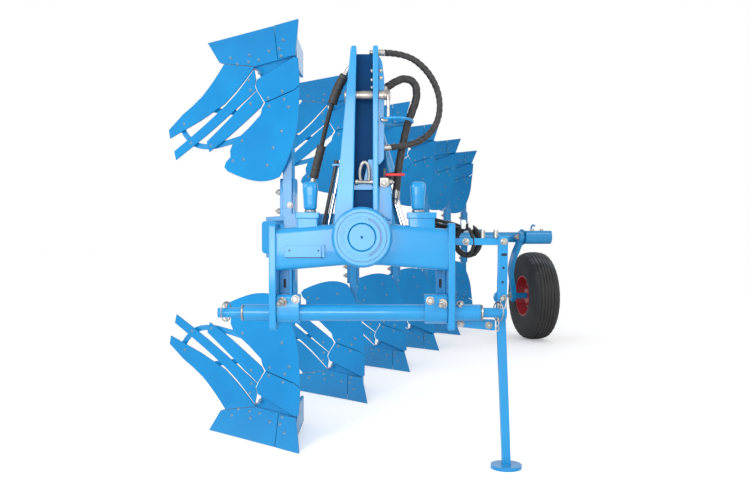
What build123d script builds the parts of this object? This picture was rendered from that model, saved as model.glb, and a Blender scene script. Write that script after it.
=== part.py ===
from build123d import *

import math
import os

# Six-furrow mounted reversible plough with slatted mouldboards.
# Origin: middle of the lower hitch axis. +X is the plough's land side (right in a view from
# the front), +Y runs to the rear, +Z is up. All sizes in millimetres.

# Driving dimensions
HUB_Z = 278.0               # turnover axis above the lower hitch axis
TIP_R = 866.0               # turnover axis to the line of the share points
GROUND_Z = HUB_Z - TIP_R    # level of the share points, the stand's foot and the wheel
ROWS = 6                    # body pairs
ROW_DX = 265.0              # sideways step from one body pair to the next
ROW_DY = 965.0              # rearward step from one body pair to the next
TIP_X = -254.0              # land side of the first share point
TIP_Y = 170.0               # front of the first share point

# Soil-working plates
SKIN = 14.0                 # mouldboard, shin and slats, measured along Y
SHARE_SKIN = 22.0           # share, measured along Y
FROG = 60.0                 # frog behind the plates, measured along Y
SEAM = 2.0                  # gap between neighbouring plates
POINT_T = 16.0              # share point bar

# Legs
LEG_T = 40.0
LEG_U = 88.0                # leg's middle from the land side of the share point
LEG_FRONT = 600.0
LEG_BACK = 740.0
FROG_TOP = 345.0            # frog's top above the share points
BEAM_S = 130.0              # main beam's square section
BEAM_GAP = 6.0              # least gap between a leg and the beam

# Headstock
PLATE_X = 313.5             # inner face of an end plate
PLATE_T = 25.0
BEAM_FRONT = -45.0
BEAM_BACK = 85.0
BEAM_H = 154.0
BEAM_DROP = 22.0            # how much lower the crossbeam's ends are
SHAFT_R = 30.5
SHOULDER_X = 435.0
PIN_R = 18.3                # lower-link pins, category 3 narrow
PIN_END = 532.0
HUB_R = 106.0
HUB_FACE = -75.0
HUB_BACK = 95.0
TURN_R = 50.0               # turnover shaft
RUNNING = 0.08              # radial clearance of a shaft that turns in its bore

# Tower
TOWER_TOP = 975.0
TOWER_PIN_Z = 800.0         # top-link pin

# Turnover cylinder
CYL_Y = 176.0
CYL_PIVOT = 550.0           # above the turnover axis
CRANK = 165.0
CYL_R = 38.0
ROD_R = 20.0

# Wheel
WHEEL_R = 370.0
WHEEL_W = 230.0
WHEEL_X = 1392.0
WHEEL_Y = 3850.0
WHEEL_YAW = 10.0
PIVOT_Y = 3540.0

# Stand
STAND_X = 516.0
STAND_Y = 43.0
STAND_HINGE_Z = 52.0
FOOT_X = 540.0

LEG_X = TIP_X - LEG_U       # middle of the first leg
BEAM_RUN = math.hypot(ROW_DX, ROW_DY)
# The beam's middle abreast of the first leg's front face
BEAM_X = LEG_X + LEG_T / 2 + BEAM_GAP + BEAM_S / 2 * BEAM_RUN / ROW_DY

os.makedirs("parts", exist_ok=True)


def write(builder, label):
    """Label a finished piece and write it as its own file."""
    builder.part.label = label
    export_step(builder.part, f"parts/{label}.step")


def rows(shift_x=0.0, shift_y=0.0):
    """Locations that repeat the first body pair's piece down the beam."""
    return [Location((shift_x + i * ROW_DX, shift_y + i * ROW_DY, 0)) for i in range(ROWS)]


# The curved surface, over (u, h): u runs from the land side outwards and h is the height above
# the share points. It is ruled between two cubic curves, each given by the rearward places of
# its four control points, which rise in equal steps: one at the land side and one outside.
SURFACE_U = (-40.0, 800.0)
SURFACE_H = (-20.0, 650.0)
INNER_BACK = (160.0, 555.0, 455.0, 450.0)
OUTER_BACK = (915.0, 1230.0, 1015.0, 1050.0)


def ruling_curve(u, backs):
    """Control points of one edge curve of the surface."""
    step = (SURFACE_H[1] - SURFACE_H[0]) / (len(backs) - 1)
    return [(TIP_X - u, back, GROUND_Z + SURFACE_H[0] + i * step) for i, back in enumerate(backs)]


skin_face = Face.make_bezier_surface(
    [ruling_curve(SURFACE_U[0], INNER_BACK), ruling_curve(SURFACE_U[1], OUTER_BACK)]
)
skin = Solid.extrude(skin_face, Vector(0, SKIN, 0))
share_skin = Solid.extrude(skin_face, Vector(0, SHARE_SKIN, 0))
behind = Solid.extrude(skin_face.moved(Location((0, SHARE_SKIN, 0))), Vector(0, FROG, 0))
deep = Solid.extrude(skin_face.moved(Location((0, -300, 0))), Vector(0, 300 + SHARE_SKIN, 0))
deep_frog = Solid.extrude(skin_face.moved(Location((0, -300, 0))), Vector(0, 300 + SHARE_SKIN + FROG, 0))

FRONT_VIEW = Plane((TIP_X, 0, GROUND_Z), x_dir=(-1, 0, 0), z_dir=(0, 1, 0))

# Outlines of the plates in (u, h), seen from the front
SHARE = [(114, 2), (444, 2), (404, 75), (378, 84), (226, 117), (42, 108), (114, 108)]
SHIN = [(38, 112), (20, 118), (20, 215), (45, 231), (190, 266), (222, 215), (232, 190), (222, 168)]
SLAT_1 = [(380, 86), (228, 119), (331, 199), (399, 248), (534, 309), (713, 377), (722, 335),
          (638, 268), (580, 236), (520, 199), (455, 148)]
SLAT_2 = [(230, 126), (226, 166), (236, 190), (228, 208), (304, 255), (494, 379), (672, 488),
          (685, 445), (515, 335), (399, 259), (331, 210)]
SLAT_3 = [(226, 212), (196, 264), (210, 284), (382, 403), (482, 463), (498, 413), (400, 337),
          (304, 264)]


def prism(points):
    """A plate's outline, run through the whole depth of the body."""
    with BuildPart(mode=Mode.PRIVATE) as block:
        with BuildSketch(FRONT_VIEW):
            with BuildLine():
                Polyline(*points, close=True)
            make_face()
        extrude(amount=1400)
    return block.part


def plate(points, sheet):
    """One lower plate of the first body: its outline cut from the curved sheet."""
    with BuildPart(mode=Mode.PRIVATE) as piece:
        add(prism(points))
        add(sheet, mode=Mode.INTERSECT)
    return piece.part


def repeat(piece, name):
    """Write the lower set and the mirrored upper set of a body piece, one solid for each row."""
    with BuildPart() as lower:
        with Locations(rows()):
            add(piece)
    write(lower, f"{name}_lower")
    with BuildPart() as upper:
        add(mirror(piece, about=Plane.XY.offset(HUB_Z), mode=Mode.PRIVATE))
        first = upper.part
    with BuildPart() as upper_set:
        with Locations(rows()):
            add(first)
    write(upper_set, f"{name}_upper")


# Share points: flat chisel bars under the shin
POINT_RISE = 29.0
with BuildPart() as point:
    with BuildSketch(FRONT_VIEW):
        with BuildLine():
            Polyline((95, 0), (3, 0), (12, 40), (36, 108), (112, 108), (112, 16), close=True)
        make_face()
    extrude(amount=1400)
    with BuildSketch(Plane.YZ.offset(TIP_X - 130), mode=Mode.PRIVATE) as section:
        with BuildLine():
            Polyline((TIP_Y, GROUND_Z), (TIP_Y + 4, GROUND_Z + 5), (TIP_Y + 203, GROUND_Z + 115),
                     (TIP_Y + 240, GROUND_Z + 115), (TIP_Y + 32, GROUND_Z), close=True)
        make_face()
    extrude(section.sketch, amount=140, mode=Mode.INTERSECT)
repeat(point.part, "share_points")

repeat(plate(SHARE, share_skin), "shares")
repeat(plate(SHIN, skin), "shins")
slats = plate(SLAT_1, skin), plate(SLAT_2, skin), plate(SLAT_3, skin)
with BuildPart() as slat_set:
    add(slats)
repeat(slat_set.part, "slats")

with BuildPart() as mouldboard:
    with BuildSketch(FRONT_VIEW):
        with BuildLine():
            Spline((20, 222), (26, 290), (33, 368), (65, 492), (118, 600))
            Spline((118, 600), (212, 616), (300, 596), (380, 562))
            Polyline((380, 562), (398, 542), (390, 518), (366, 496), (369, 465), (354, 430),
                     (276, 372), (213, 318), (204, 289), (190, 270), (46, 235), (20, 222))
        make_face()
    extrude(amount=1400)
    add(skin, mode=Mode.INTERSECT)
repeat(mouldboard.part, "mouldboards")

# Frogs: the curved blocks that carry share, shin and mouldboard
FROG_OUTLINE = [(44, 20), (330, 20), (330, 70), (210, 130), (180, 330), (60, 330), (44, 120)]
with BuildPart() as frog:
    add(prism(FROG_OUTLINE))
    add(behind, mode=Mode.INTERSECT)
repeat(frog.part, "frogs")

# Legs, one bar for each pair, cut to the back of both frogs
with BuildPart() as leg:
    with BuildSketch(Plane.YZ.offset(LEG_X - LEG_T / 2)):
        with BuildLine():
            Polyline((LEG_FRONT, HUB_Z), (LEG_FRONT, GROUND_Z + FROG_TOP),
                     (430, GROUND_Z + 200), (430, GROUND_Z + 40), (620, GROUND_Z + 40),
                     (LEG_BACK, GROUND_Z + 220), (LEG_BACK, HUB_Z), close=True)
        make_face()
    extrude(amount=LEG_T)
    add(deep_frog, mode=Mode.SUBTRACT)
    with BuildSketch(Plane.YZ.offset(LEG_X - LEG_T / 2)):
        with Locations(((LEG_FRONT + LEG_BACK) / 2, (HUB_Z + GROUND_Z + FROG_TOP) / 2)):
            Rectangle(LEG_BACK - LEG_FRONT, HUB_Z - GROUND_Z - FROG_TOP)
    extrude(amount=LEG_T)
    mirror(about=Plane.XY.offset(HUB_Z))
with BuildPart() as legs:
    with Locations(rows()):
        add(leg.part)
write(legs, "legs")

# Main beam
BEAM_LEAD = 365.0           # beam ahead of the first leg's front face
BEAM_TAIL = 290.0           # beam behind the last leg's front face
BEAM_DIR = Vector(ROW_DX, ROW_DY, 0).normalized()
beam_front = Vector(BEAM_X, LEG_FRONT, HUB_Z) - BEAM_DIR * BEAM_LEAD
beam_plane = Plane(origin=beam_front, x_dir=Vector(ROW_DY, -ROW_DX, 0), z_dir=BEAM_DIR)
BEAM_LEN = BEAM_LEAD + BEAM_RUN * (ROWS - 1) + BEAM_TAIL
with BuildPart() as main_beam:
    with BuildSketch(beam_plane):
        RectangleRounded(BEAM_S, BEAM_S, 14)
    extrude(amount=BEAM_LEN)
write(main_beam, "main_beam")

# Leg clamps: a ring of plate round each leg and the beam
CLAMP_T = 16.0
LEG_MID = (LEG_FRONT + LEG_BACK) / 2
with BuildPart() as clamp:
    for side in (-1, 1):
        with Locations((LEG_X + 75, LEG_MID, HUB_Z + side * (BEAM_S / 2 + CLAMP_T / 2))):
            Box(222, LEG_BACK - LEG_FRONT - 20, CLAMP_T)
    with Locations((LEG_X - LEG_T / 2 - 8, LEG_MID, HUB_Z)):
        Box(CLAMP_T, LEG_BACK - LEG_FRONT - 20, BEAM_S + 2 * CLAMP_T)
    add(leg.part, mode=Mode.SUBTRACT)
with BuildPart() as clamps:
    with Locations(rows()):
        add(clamp.part)
write(clamps, "leg_clamps")

# Turnover shaft and head
with BuildPart() as turnover_shaft:
    with BuildSketch(Plane.XZ.offset(-HUB_BACK - 6)):
        with Locations((0, HUB_Z)):
            Circle(TURN_R)
    extrude(amount=HUB_BACK + 6 - HUB_FACE - 5)
write(turnover_shaft, "turnover_shaft")

# Turnover plate with its crank ear and pin, in front of the turnover cylinder
HEAD_Y = HUB_BACK + 6
HEAD_T = 30.0
CRANK_PIN_R = 18.0
with BuildPart() as turnover_plate:
    with BuildSketch(Plane.XZ.offset(-HEAD_Y)):
        with Locations((0, HUB_Z)):
            Circle(104)
        with Locations((-150, HUB_Z)):
            Rectangle(300, 180)
        with Locations((CRANK / 2, HUB_Z)):
            Rectangle(CRANK, 84)
        with Locations((CRANK, HUB_Z)):
            Circle(42)
    extrude(amount=-HEAD_T)
write(turnover_plate, "turnover_plate")

with BuildPart() as crank_pin:
    with BuildSketch(Plane.XZ.offset(-HEAD_Y - HEAD_T)):
        with Locations((CRANK, HUB_Z)):
            Circle(CRANK_PIN_R)
    extrude(amount=-18)
write(crank_pin, "crank_pin")

# Turnover head: a block on the plate and two cheeks that hold the main beam's front
with BuildPart() as turnover_head:
    for side in (-1, 1):
        with BuildSketch(Plane.XY.offset(HUB_Z + side * BEAM_S / 2)):
            with BuildLine():
                Polyline((-300, HEAD_Y + HEAD_T), (-96, HEAD_Y + HEAD_T), (-96, 250),
                         (-160, 585), (-330, 585), (-400, 330), close=True)
            make_face()
        extrude(amount=side * 18)
    with Locations((-205, HEAD_Y + HEAD_T + 40, HUB_Z)):
        Box(190, 80, BEAM_S)
    add(main_beam.part, mode=Mode.SUBTRACT)
write(turnover_head, "turnover_head")

# Headstock crossbeam, a shallow inverted V
with BuildPart() as crossbeam:
    with BuildSketch(Plane.XZ.offset(-BEAM_BACK)):
        with BuildLine():
            Polyline((-PLATE_X, HUB_Z - BEAM_H / 2 - BEAM_DROP), (-70, HUB_Z - BEAM_H / 2),
                     (70, HUB_Z - BEAM_H / 2), (PLATE_X, HUB_Z - BEAM_H / 2 - BEAM_DROP),
                     (PLATE_X, HUB_Z + BEAM_H / 2 - BEAM_DROP), (70, HUB_Z + BEAM_H / 2),
                     (-70, HUB_Z + BEAM_H / 2), (-PLATE_X, HUB_Z + BEAM_H / 2 - BEAM_DROP),
                     close=True)
        make_face()
    extrude(amount=BEAM_BACK - BEAM_FRONT)
    with Locations(Location((0, 0, HUB_Z), (90, 0, 0))):
        Cylinder(HUB_R - 12, 400, mode=Mode.SUBTRACT)
write(crossbeam, "crossbeam")

with BuildPart() as hub_housing:
    with BuildSketch(Plane.XZ.offset(-HUB_BACK)):
        with Locations((0, HUB_Z)):
            Circle(HUB_R - 12)
            Circle(TURN_R + RUNNING, mode=Mode.SUBTRACT)
    extrude(amount=HUB_BACK - HUB_FACE)
    with BuildSketch(Plane.XZ.offset(-BEAM_FRONT)):
        with Locations((0, HUB_Z)):
            Circle(HUB_R)
            Circle(HUB_R - 12, mode=Mode.SUBTRACT)
    extrude(amount=BEAM_FRONT - HUB_FACE - 6)
write(hub_housing, "hub_housing")

# End plates
for side, name in ((-1, "end_plate_left"), (1, "end_plate_right")):
    with BuildPart() as end_plate:
        with BuildSketch(Plane.YZ.offset(side * PLATE_X)):
            with BuildLine():
                Polyline((-50, -50), (60, -50), (120, 40), (120, HUB_Z + 40), (90, HUB_Z + 60),
                         (-50, HUB_Z + 60), close=True)
            make_face()
            Circle(SHAFT_R, mode=Mode.SUBTRACT)
        extrude(amount=side * PLATE_T)
    write(end_plate, name)

# Cross shaft with its lower-link pins
with BuildPart() as cross_shaft:
    with BuildSketch(Plane.YZ.offset(-PIN_END)):
        Circle(PIN_R)
    extrude(amount=2 * PIN_END)
    with BuildSketch(Plane.YZ.offset(-SHOULDER_X)):
        Circle(SHAFT_R)
    extrude(amount=2 * SHOULDER_X)
write(cross_shaft, "cross_shaft")

with BuildPart() as shaft_clamps:
    for side in (-1, 1):
        with BuildSketch(Plane.YZ.offset(side * (PLATE_X - 8))):
            with Locations((0, 6)):
                Rectangle(86, 100)
            Circle(SHAFT_R, mode=Mode.SUBTRACT)
        extrude(amount=-side * 76)
write(shaft_clamps, "shaft_clamps")

# Tower: two flanged side plates and a back plate
LEAN = math.degrees(math.atan2(70, 600))
with BuildPart() as tower_left:
    with BuildSketch(Plane.XZ.offset(-60)):
        with BuildLine():
            Polyline((-104, HUB_Z + 78), (-30, HUB_Z + 78), (-20, TOWER_TOP), (-38, TOWER_TOP),
                     close=True)
        make_face()
    extrude(amount=96)

with BuildPart() as tower_right:
    with BuildSketch(Plane.XZ.offset(-60)):
        with BuildLine():
            Polyline((39, HUB_Z + 78), (104, HUB_Z + 78), (56, TOWER_TOP), (39, TOWER_TOP),
                     close=True)
        make_face()
    extrude(amount=96)

with BuildPart() as tower_back:
    with BuildSketch(Plane.XZ.offset(-76)):
        with BuildLine():
            Polyline((-104, HUB_Z + 78), (104, HUB_Z + 78), (56, TOWER_TOP - 8),
                     (-38, TOWER_TOP - 8), close=True)
        make_face()
    extrude(amount=16)

with BuildPart() as top_link_pin:
    with BuildSketch(Plane.YZ.offset(-66)):
        with Locations((0, TOWER_PIN_Z)):
            Circle(15)
    extrude(amount=170)
for piece, name in ((tower_left, "tower_left"), (tower_right, "tower_right"),
                    (tower_back, "tower_back")):
    with BuildPart() as trimmed:
        add(piece.part)
        add(top_link_pin.part, mode=Mode.SUBTRACT)
        add(hub_housing.part, mode=Mode.SUBTRACT)
    write(trimmed, name)
write(top_link_pin, "top_link_pin")

# Cylinder anchor fork on the tower's back
ANCHOR_Z = HUB_Z + CYL_PIVOT
with BuildPart() as cylinder_anchor:
    with Locations((0, (76 + CYL_Y + 44) / 2, ANCHOR_Z + 66)):
        Box(90, CYL_Y + 44 - 76, 24)
    for y in (CYL_Y - 34, CYL_Y + 34):
        with Locations((0, y, ANCHOR_Z + 18)):
            Box(70, 16, 92)
    with Locations((0, (76 + CYL_Y - 44) / 2, ANCHOR_Z + 10)):
        Box(90, CYL_Y - 44 - 76, 130)
    with Locations(Location((0, CYL_Y, ANCHOR_Z), (90, 0, 0))):
        Cylinder(18, 100)
write(cylinder_anchor, "cylinder_anchor")

# Turnover cylinder, drawn along its own line from the anchor to the crank
CYL_LEN = math.hypot(CYL_PIVOT, CRANK)
CYL_ANGLE = math.degrees(math.atan2(CRANK, CYL_PIVOT))
along = Vector(CRANK, 0, -CYL_PIVOT).normalized()
anchor_point = Vector(0, CYL_Y, ANCHOR_Z)
EYE_T = 32.0


def cylinder_plane(distance):
    """Plane square to the cylinder's line at a distance from its anchor."""
    return Plane(origin=anchor_point + along * distance, x_dir=(0, 1, 0), z_dir=along)


with BuildPart() as turn_cylinder:
    with BuildSketch(cylinder_plane(56)):
        Circle(CYL_R)
    extrude(amount=280)
    with BuildSketch(cylinder_plane(0)):
        Rectangle(EYE_T, 52)
    extrude(amount=80)
    with BuildSketch(cylinder_plane(76)):
        Circle(ROD_R)
    extrude(amount=300, mode=Mode.SUBTRACT)
    with Locations(Location((0, CYL_Y, ANCHOR_Z), (90, 0, 0))):
        Cylinder(30, EYE_T)
        Cylinder(18 + RUNNING, 100, mode=Mode.SUBTRACT)
write(turn_cylinder, "turn_cylinder")

with BuildPart() as turn_rod:
    with BuildSketch(cylinder_plane(290)):
        Circle(ROD_R - 0.5)
    extrude(amount=CYL_LEN - 290 - 20)
    with Locations(Location((CRANK, CYL_Y, HUB_Z), (90, 0, 0))):
        Cylinder(34, EYE_T)
        Cylinder(CRANK_PIN_R + RUNNING, EYE_T + 10, mode=Mode.SUBTRACT)
write(turn_rod, "turn_rod")

# Stops for the turnover, on the crossbeam
with BuildPart() as stop_blocks:
    for x, width in ((-188, 72), (207, 100)):
        with Locations((x, -2, HUB_Z + BEAM_H / 2 + 16)):
            Box(width, 70, 44)
    add(crossbeam.part, mode=Mode.SUBTRACT)
write(stop_blocks, "stop_blocks")
with BuildPart() as stop_caps:
    for x in (-190, 200):
        with BuildSketch(Plane.XY.offset(HUB_Z + BEAM_H / 2 + 38)):
            with Locations((x, -2)):
                RegularPolygon(28, 6)
        extrude(amount=108)
write(stop_caps, "stop_caps")

# Stand
with BuildPart() as stand_bracket:
    with Locations((PLATE_X + PLATE_T + 88, 12, 262)):
        Box(176, 22, 26)
    with BuildSketch(Plane.XZ.offset(-22)):
        with BuildLine():
            Polyline((STAND_X - 17, 30), (STAND_X + 17, 30), (STAND_X + 22, 275),
                     (STAND_X - 14, 275), close=True)
        make_face()
    extrude(amount=22)
    with Locations(Location((STAND_X, STAND_Y - 8, STAND_HINGE_Z), (90, 0, 0))):
        Cylinder(9, 70)
write(stand_bracket, "stand_bracket")

leg_down = Vector(FOOT_X - STAND_X, 0, GROUND_Z - STAND_HINGE_Z)
STAND_RUN = leg_down.length
with BuildPart() as stand_leg:
    with BuildSketch(Plane(origin=(STAND_X, STAND_Y, STAND_HINGE_Z), x_dir=(0, 1, 0),
                           z_dir=leg_down)):
        Rectangle(26, 32)
    extrude(amount=STAND_RUN - 14)
    with BuildSketch(Plane.XZ.offset(-STAND_Y - 13)):
        with Locations((STAND_X, STAND_HINGE_Z)):
            Circle(24)
    extrude(amount=26)
    with BuildSketch(Plane.XZ.offset(-STAND_Y - 20)):
        with Locations((STAND_X, STAND_HINGE_Z)):
            Circle(9.5)
    extrude(amount=40, mode=Mode.SUBTRACT)
    with BuildSketch(Plane.XY.offset(GROUND_Z)):
        with Locations((FOOT_X, STAND_Y)):
            Circle(58)
    extrude(amount=14)
write(stand_leg, "stand_leg")

# Depth wheel: bracket on the beam, swinging arm, rim and tyre
axle = Vector(math.cos(math.radians(WHEEL_YAW)), math.sin(math.radians(WHEEL_YAW)), 0)
wheel_centre = Vector(WHEEL_X, WHEEL_Y, GROUND_Z + WHEEL_R)
rearward = Vector(-axle.Y, axle.X, 0)
pivot = Vector(WHEEL_X, WHEEL_Y, HUB_Z) - rearward * (WHEEL_Y - PIVOT_Y)


def axle_plane(origin, distance):
    """Plane square to the axle's direction, a distance out from a point."""
    return Plane(origin=origin + axle * distance, x_dir=(0, 0, 1), z_dir=axle)


with BuildPart() as wheel_bracket:
    with BuildSketch(axle_plane(pivot, -110)):
        Circle(44)
        Circle(25, mode=Mode.SUBTRACT)
    extrude(amount=180)
    carrier_from = pivot - rearward * 100 + axle * 60
    with BuildSketch(Plane(origin=carrier_from, x_dir=(0, 0, 1), z_dir=-axle)):
        Rectangle(90, 90)
    extrude(amount=960)
    with BuildSketch(axle_plane(pivot, -100)):
        with Locations((0, 70)):
            Rectangle(60, 60)
    extrude(amount=150)
    with BuildSketch(axle_plane(pivot, -110)):
        Circle(25)
    extrude(amount=180, mode=Mode.SUBTRACT)
    add(main_beam.part, mode=Mode.SUBTRACT)
write(wheel_bracket, "wheel_bracket")

with BuildPart() as wheel_arm:
    with BuildSketch(axle_plane(pivot, -150)):
        Circle(24.5)
    extrude(amount=235)
    with BuildSketch(axle_plane(pivot, -150)):
        Circle(42)
    extrude(amount=34)
    with BuildSketch(axle_plane(wheel_centre, -150)):
        Circle(40)
    extrude(amount=34)
    with BuildSketch(axle_plane(wheel_centre, -150)):
        Circle(24)
    extrude(amount=190)
    arm_line = wheel_centre - pivot
    with BuildSketch(Plane(origin=pivot - axle * 133, x_dir=axle, z_dir=arm_line)):
        Rectangle(34, 70)
    extrude(amount=arm_line.length)
write(wheel_arm, "wheel_arm")

with BuildPart() as wheel_rim:
    with BuildSketch(axle_plane(wheel_centre, -90)):
        Circle(165)
        Circle(152, mode=Mode.SUBTRACT)
    extrude(amount=180)
    with BuildSketch(axle_plane(wheel_centre, 10)):
        Circle(152)
    extrude(amount=10)
    with BuildSketch(axle_plane(wheel_centre, -60)):
        Circle(60)
    extrude(amount=100)
    with BuildSketch(axle_plane(wheel_centre, -100)):
        Circle(26)
    extrude(amount=145, mode=Mode.SUBTRACT)
write(wheel_rim, "wheel_rim")

with BuildPart() as wheel_tyre:
    with BuildSketch(Plane(origin=wheel_centre, x_dir=axle, z_dir=axle.cross(Vector(0, 0, 1)))):
        with BuildLine():
            Polyline((-90, 165), (90, 165), (WHEEL_W / 2, 230), (WHEEL_W / 2 - 8, 320),
                     (WHEEL_W / 2 - 40, WHEEL_R - 6), (0, WHEEL_R), (40 - WHEEL_W / 2, WHEEL_R - 6),
                     (8 - WHEEL_W / 2, 320), (-WHEEL_W / 2, 230), close=True)
        make_face()
    revolve(axis=Axis(wheel_centre, axle))
write(wheel_tyre, "wheel_tyre")
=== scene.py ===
import math

import bmesh
import bpy
import numpy as np
from mathutils import Matrix, Vector


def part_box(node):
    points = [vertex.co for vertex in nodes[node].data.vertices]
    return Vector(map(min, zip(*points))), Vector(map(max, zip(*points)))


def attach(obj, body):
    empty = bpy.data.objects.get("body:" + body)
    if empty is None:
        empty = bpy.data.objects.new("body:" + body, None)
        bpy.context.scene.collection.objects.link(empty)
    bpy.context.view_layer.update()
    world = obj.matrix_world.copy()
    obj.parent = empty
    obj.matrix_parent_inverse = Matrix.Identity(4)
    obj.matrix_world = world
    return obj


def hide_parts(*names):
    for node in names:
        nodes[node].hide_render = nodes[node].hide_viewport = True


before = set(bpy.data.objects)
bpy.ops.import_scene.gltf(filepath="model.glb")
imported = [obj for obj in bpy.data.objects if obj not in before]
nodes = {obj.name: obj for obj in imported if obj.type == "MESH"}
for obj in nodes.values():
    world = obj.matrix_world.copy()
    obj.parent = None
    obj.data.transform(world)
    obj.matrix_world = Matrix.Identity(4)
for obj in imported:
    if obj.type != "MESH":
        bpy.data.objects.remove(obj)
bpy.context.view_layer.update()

# Crossbeam. The headstock's main girder is a box of pressed steel in a shallow inverted V with
# large rounded edges. It is welded, blasted and sprayed bright blue with one smooth glossy coat,
# a little cloudy over large faces, thin and pale on its edges, with a trace of dust on top.
PAINT_BLUE = (0.003, 0.270, 0.590, 1.0)
PAINT_DEEP = (0.002, 0.222, 0.510, 1.0)
PAINT_EDGE = (0.06, 0.40, 0.78, 1.0)
DUST = (0.42, 0.50, 0.55, 1.0)
EDGE_R = 0.0035


def new_group(name, inputs, outputs):
    """An empty node group: inputs are (name, kind, value) and outputs are (name, kind)."""
    group = bpy.data.node_groups.new(name, "ShaderNodeTree")
    for label, kind, value in inputs:
        socket = group.interface.new_socket(label, in_out="INPUT", socket_type=f"NodeSocket{kind}")
        socket.default_value = value
    for label, kind in outputs:
        group.interface.new_socket(label, in_out="OUTPUT", socket_type=f"NodeSocket{kind}")
    return group


def math_node(tree, link, operation, first, second, third=None, clamp=False):
    """A Math node whose inputs are sockets or plain numbers."""
    node = tree.new("ShaderNodeMath")
    node.operation = operation
    node.use_clamp = clamp
    for socket, value in zip(node.inputs, (first, second, third)):
        if isinstance(value, (int, float)):
            socket.default_value = value
        elif value is not None:
            link(value, socket)
    return node.outputs["Value"]


def mixed(tree, link, factor, first, second):
    """A colour between two, by a factor socket."""
    node = tree.new("ShaderNodeMix")
    node.data_type = "RGBA"
    link(factor, node.inputs["Factor"])
    link(first, node.inputs["A"])
    link(second, node.inputs["B"])
    return node.outputs["Result"]


def coat_group():
    """Sprayed or plated coat: slow drift between two colours, worn edges found by comparing a
    rounded normal with the true one, dust where the normal points up, and fine orange peel."""
    group = new_group(
        "sprayed coat",
        [("Color", "Color", PAINT_BLUE), ("Second Color", "Color", PAINT_DEEP),
         ("Edge Color", "Color", PAINT_EDGE), ("Dust Color", "Color", DUST),
         ("Patch Scale", "Float", 3.0), ("Grain Scale", "Float", 160.0),
         ("Grain", "Float", 0.06), ("Wear", "Float", 0.5), ("Dust", "Float", 0.1),
         ("Roughness", "Float", 0.3)],
        [("Color", "Color"), ("Roughness", "Float"), ("Normal", "Vector")],
    )
    tree, link = group.nodes, group.links.new
    inside = tree.new("NodeGroupInput")
    outside = tree.new("NodeGroupOutput")
    place = tree.new("ShaderNodeTexCoord").outputs["Object"]
    noises = []
    for scale, detail in (("Patch Scale", 3.0), ("Grain Scale", 2.0)):
        noise = tree.new("ShaderNodeTexNoise")
        noise.inputs["Detail"].default_value = detail
        link(place, noise.inputs["Vector"])
        link(inside.outputs[scale], noise.inputs["Scale"])
        noises.append(noise.outputs["Fac"])
    patches, grain = noises
    soft = tree.new("ShaderNodeBevel")
    soft.samples = 4
    soft.inputs["Radius"].default_value = EDGE_R
    true = tree.new("ShaderNodeNewGeometry").outputs["True Normal"]
    turned = tree.new("ShaderNodeVectorMath")
    turned.operation = "DOT_PRODUCT"
    link(soft.outputs["Normal"], turned.inputs[0])
    link(true, turned.inputs[1])
    bend = math_node(tree, link, "SUBTRACT", 1.0, turned.outputs["Value"])
    rough_grain = math_node(tree, link, "MULTIPLY_ADD", grain, 2.4, -0.5, clamp=True)
    edge = math_node(tree, link, "MULTIPLY", bend, 5.0, clamp=True)
    edge = math_node(tree, link, "MULTIPLY", edge, rough_grain)
    edge = math_node(tree, link, "MULTIPLY", edge, inside.outputs["Wear"])
    upward = tree.new("ShaderNodeSeparateXYZ")
    link(true, upward.inputs["Vector"])
    level = math_node(tree, link, "MULTIPLY_ADD", upward.outputs["Z"], 2.0, -1.0, clamp=True)
    settled = math_node(tree, link, "MULTIPLY_ADD", patches, 2.2, -0.6, clamp=True)
    dusty = math_node(tree, link, "MULTIPLY", level, settled)
    dusty = math_node(tree, link, "MULTIPLY", dusty, inside.outputs["Dust"])
    spread = math_node(tree, link, "MULTIPLY_ADD", patches, 3.0, -1.0, clamp=True)
    color = mixed(tree, link, spread, inside.outputs["Color"], inside.outputs["Second Color"])
    color = mixed(tree, link, edge, color, inside.outputs["Edge Color"])
    link(mixed(tree, link, dusty, color, inside.outputs["Dust Color"]), outside.inputs["Color"])
    rough = math_node(tree, link, "MULTIPLY_ADD", patches, 0.14, inside.outputs["Roughness"])
    link(math_node(tree, link, "MULTIPLY_ADD", dusty, 0.6, rough), outside.inputs["Roughness"])
    bump = tree.new("ShaderNodeBump")
    bump.inputs["Distance"].default_value = 0.001
    link(inside.outputs["Grain"], bump.inputs["Strength"])
    link(grain, bump.inputs["Height"])
    link(soft.outputs["Normal"], bump.inputs["Normal"])
    link(bump.outputs["Normal"], outside.inputs["Normal"])
    return group


COAT = coat_group()


def finish(name, color, second, roughness, edge=None, metallic=0.0, coat=0.0, specular=0.35, **values):
    """One finish: the sprayed coat drives colour, roughness and normal of a Principled shader."""
    material = bpy.data.materials.new(name)
    material.use_nodes = True
    tree, link = material.node_tree.nodes, material.node_tree.links.new
    shader = tree["Principled BSDF"]
    layer = tree.new("ShaderNodeGroup")
    layer.node_tree = COAT
    layer.inputs["Color"].default_value = color
    layer.inputs["Second Color"].default_value = second
    layer.inputs["Edge Color"].default_value = edge or color
    layer.inputs["Roughness"].default_value = roughness
    for socket, value in values.items():
        layer.inputs[socket.replace("_", " ").title()].default_value = value
    for socket, aim in (("Color", "Base Color"), ("Roughness", "Roughness"), ("Normal", "Normal")):
        link(layer.outputs[socket], shader.inputs[aim])
    shader.inputs["Metallic"].default_value = metallic
    shader.inputs["Coat Weight"].default_value = coat
    shader.inputs["Specular IOR Level"].default_value = specular
    shader.inputs["Coat Roughness"].default_value = 0.08
    return material


blue = finish("blue paint", PAINT_BLUE, PAINT_DEEP, 0.27, PAINT_EDGE, coat=0.45)

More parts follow.
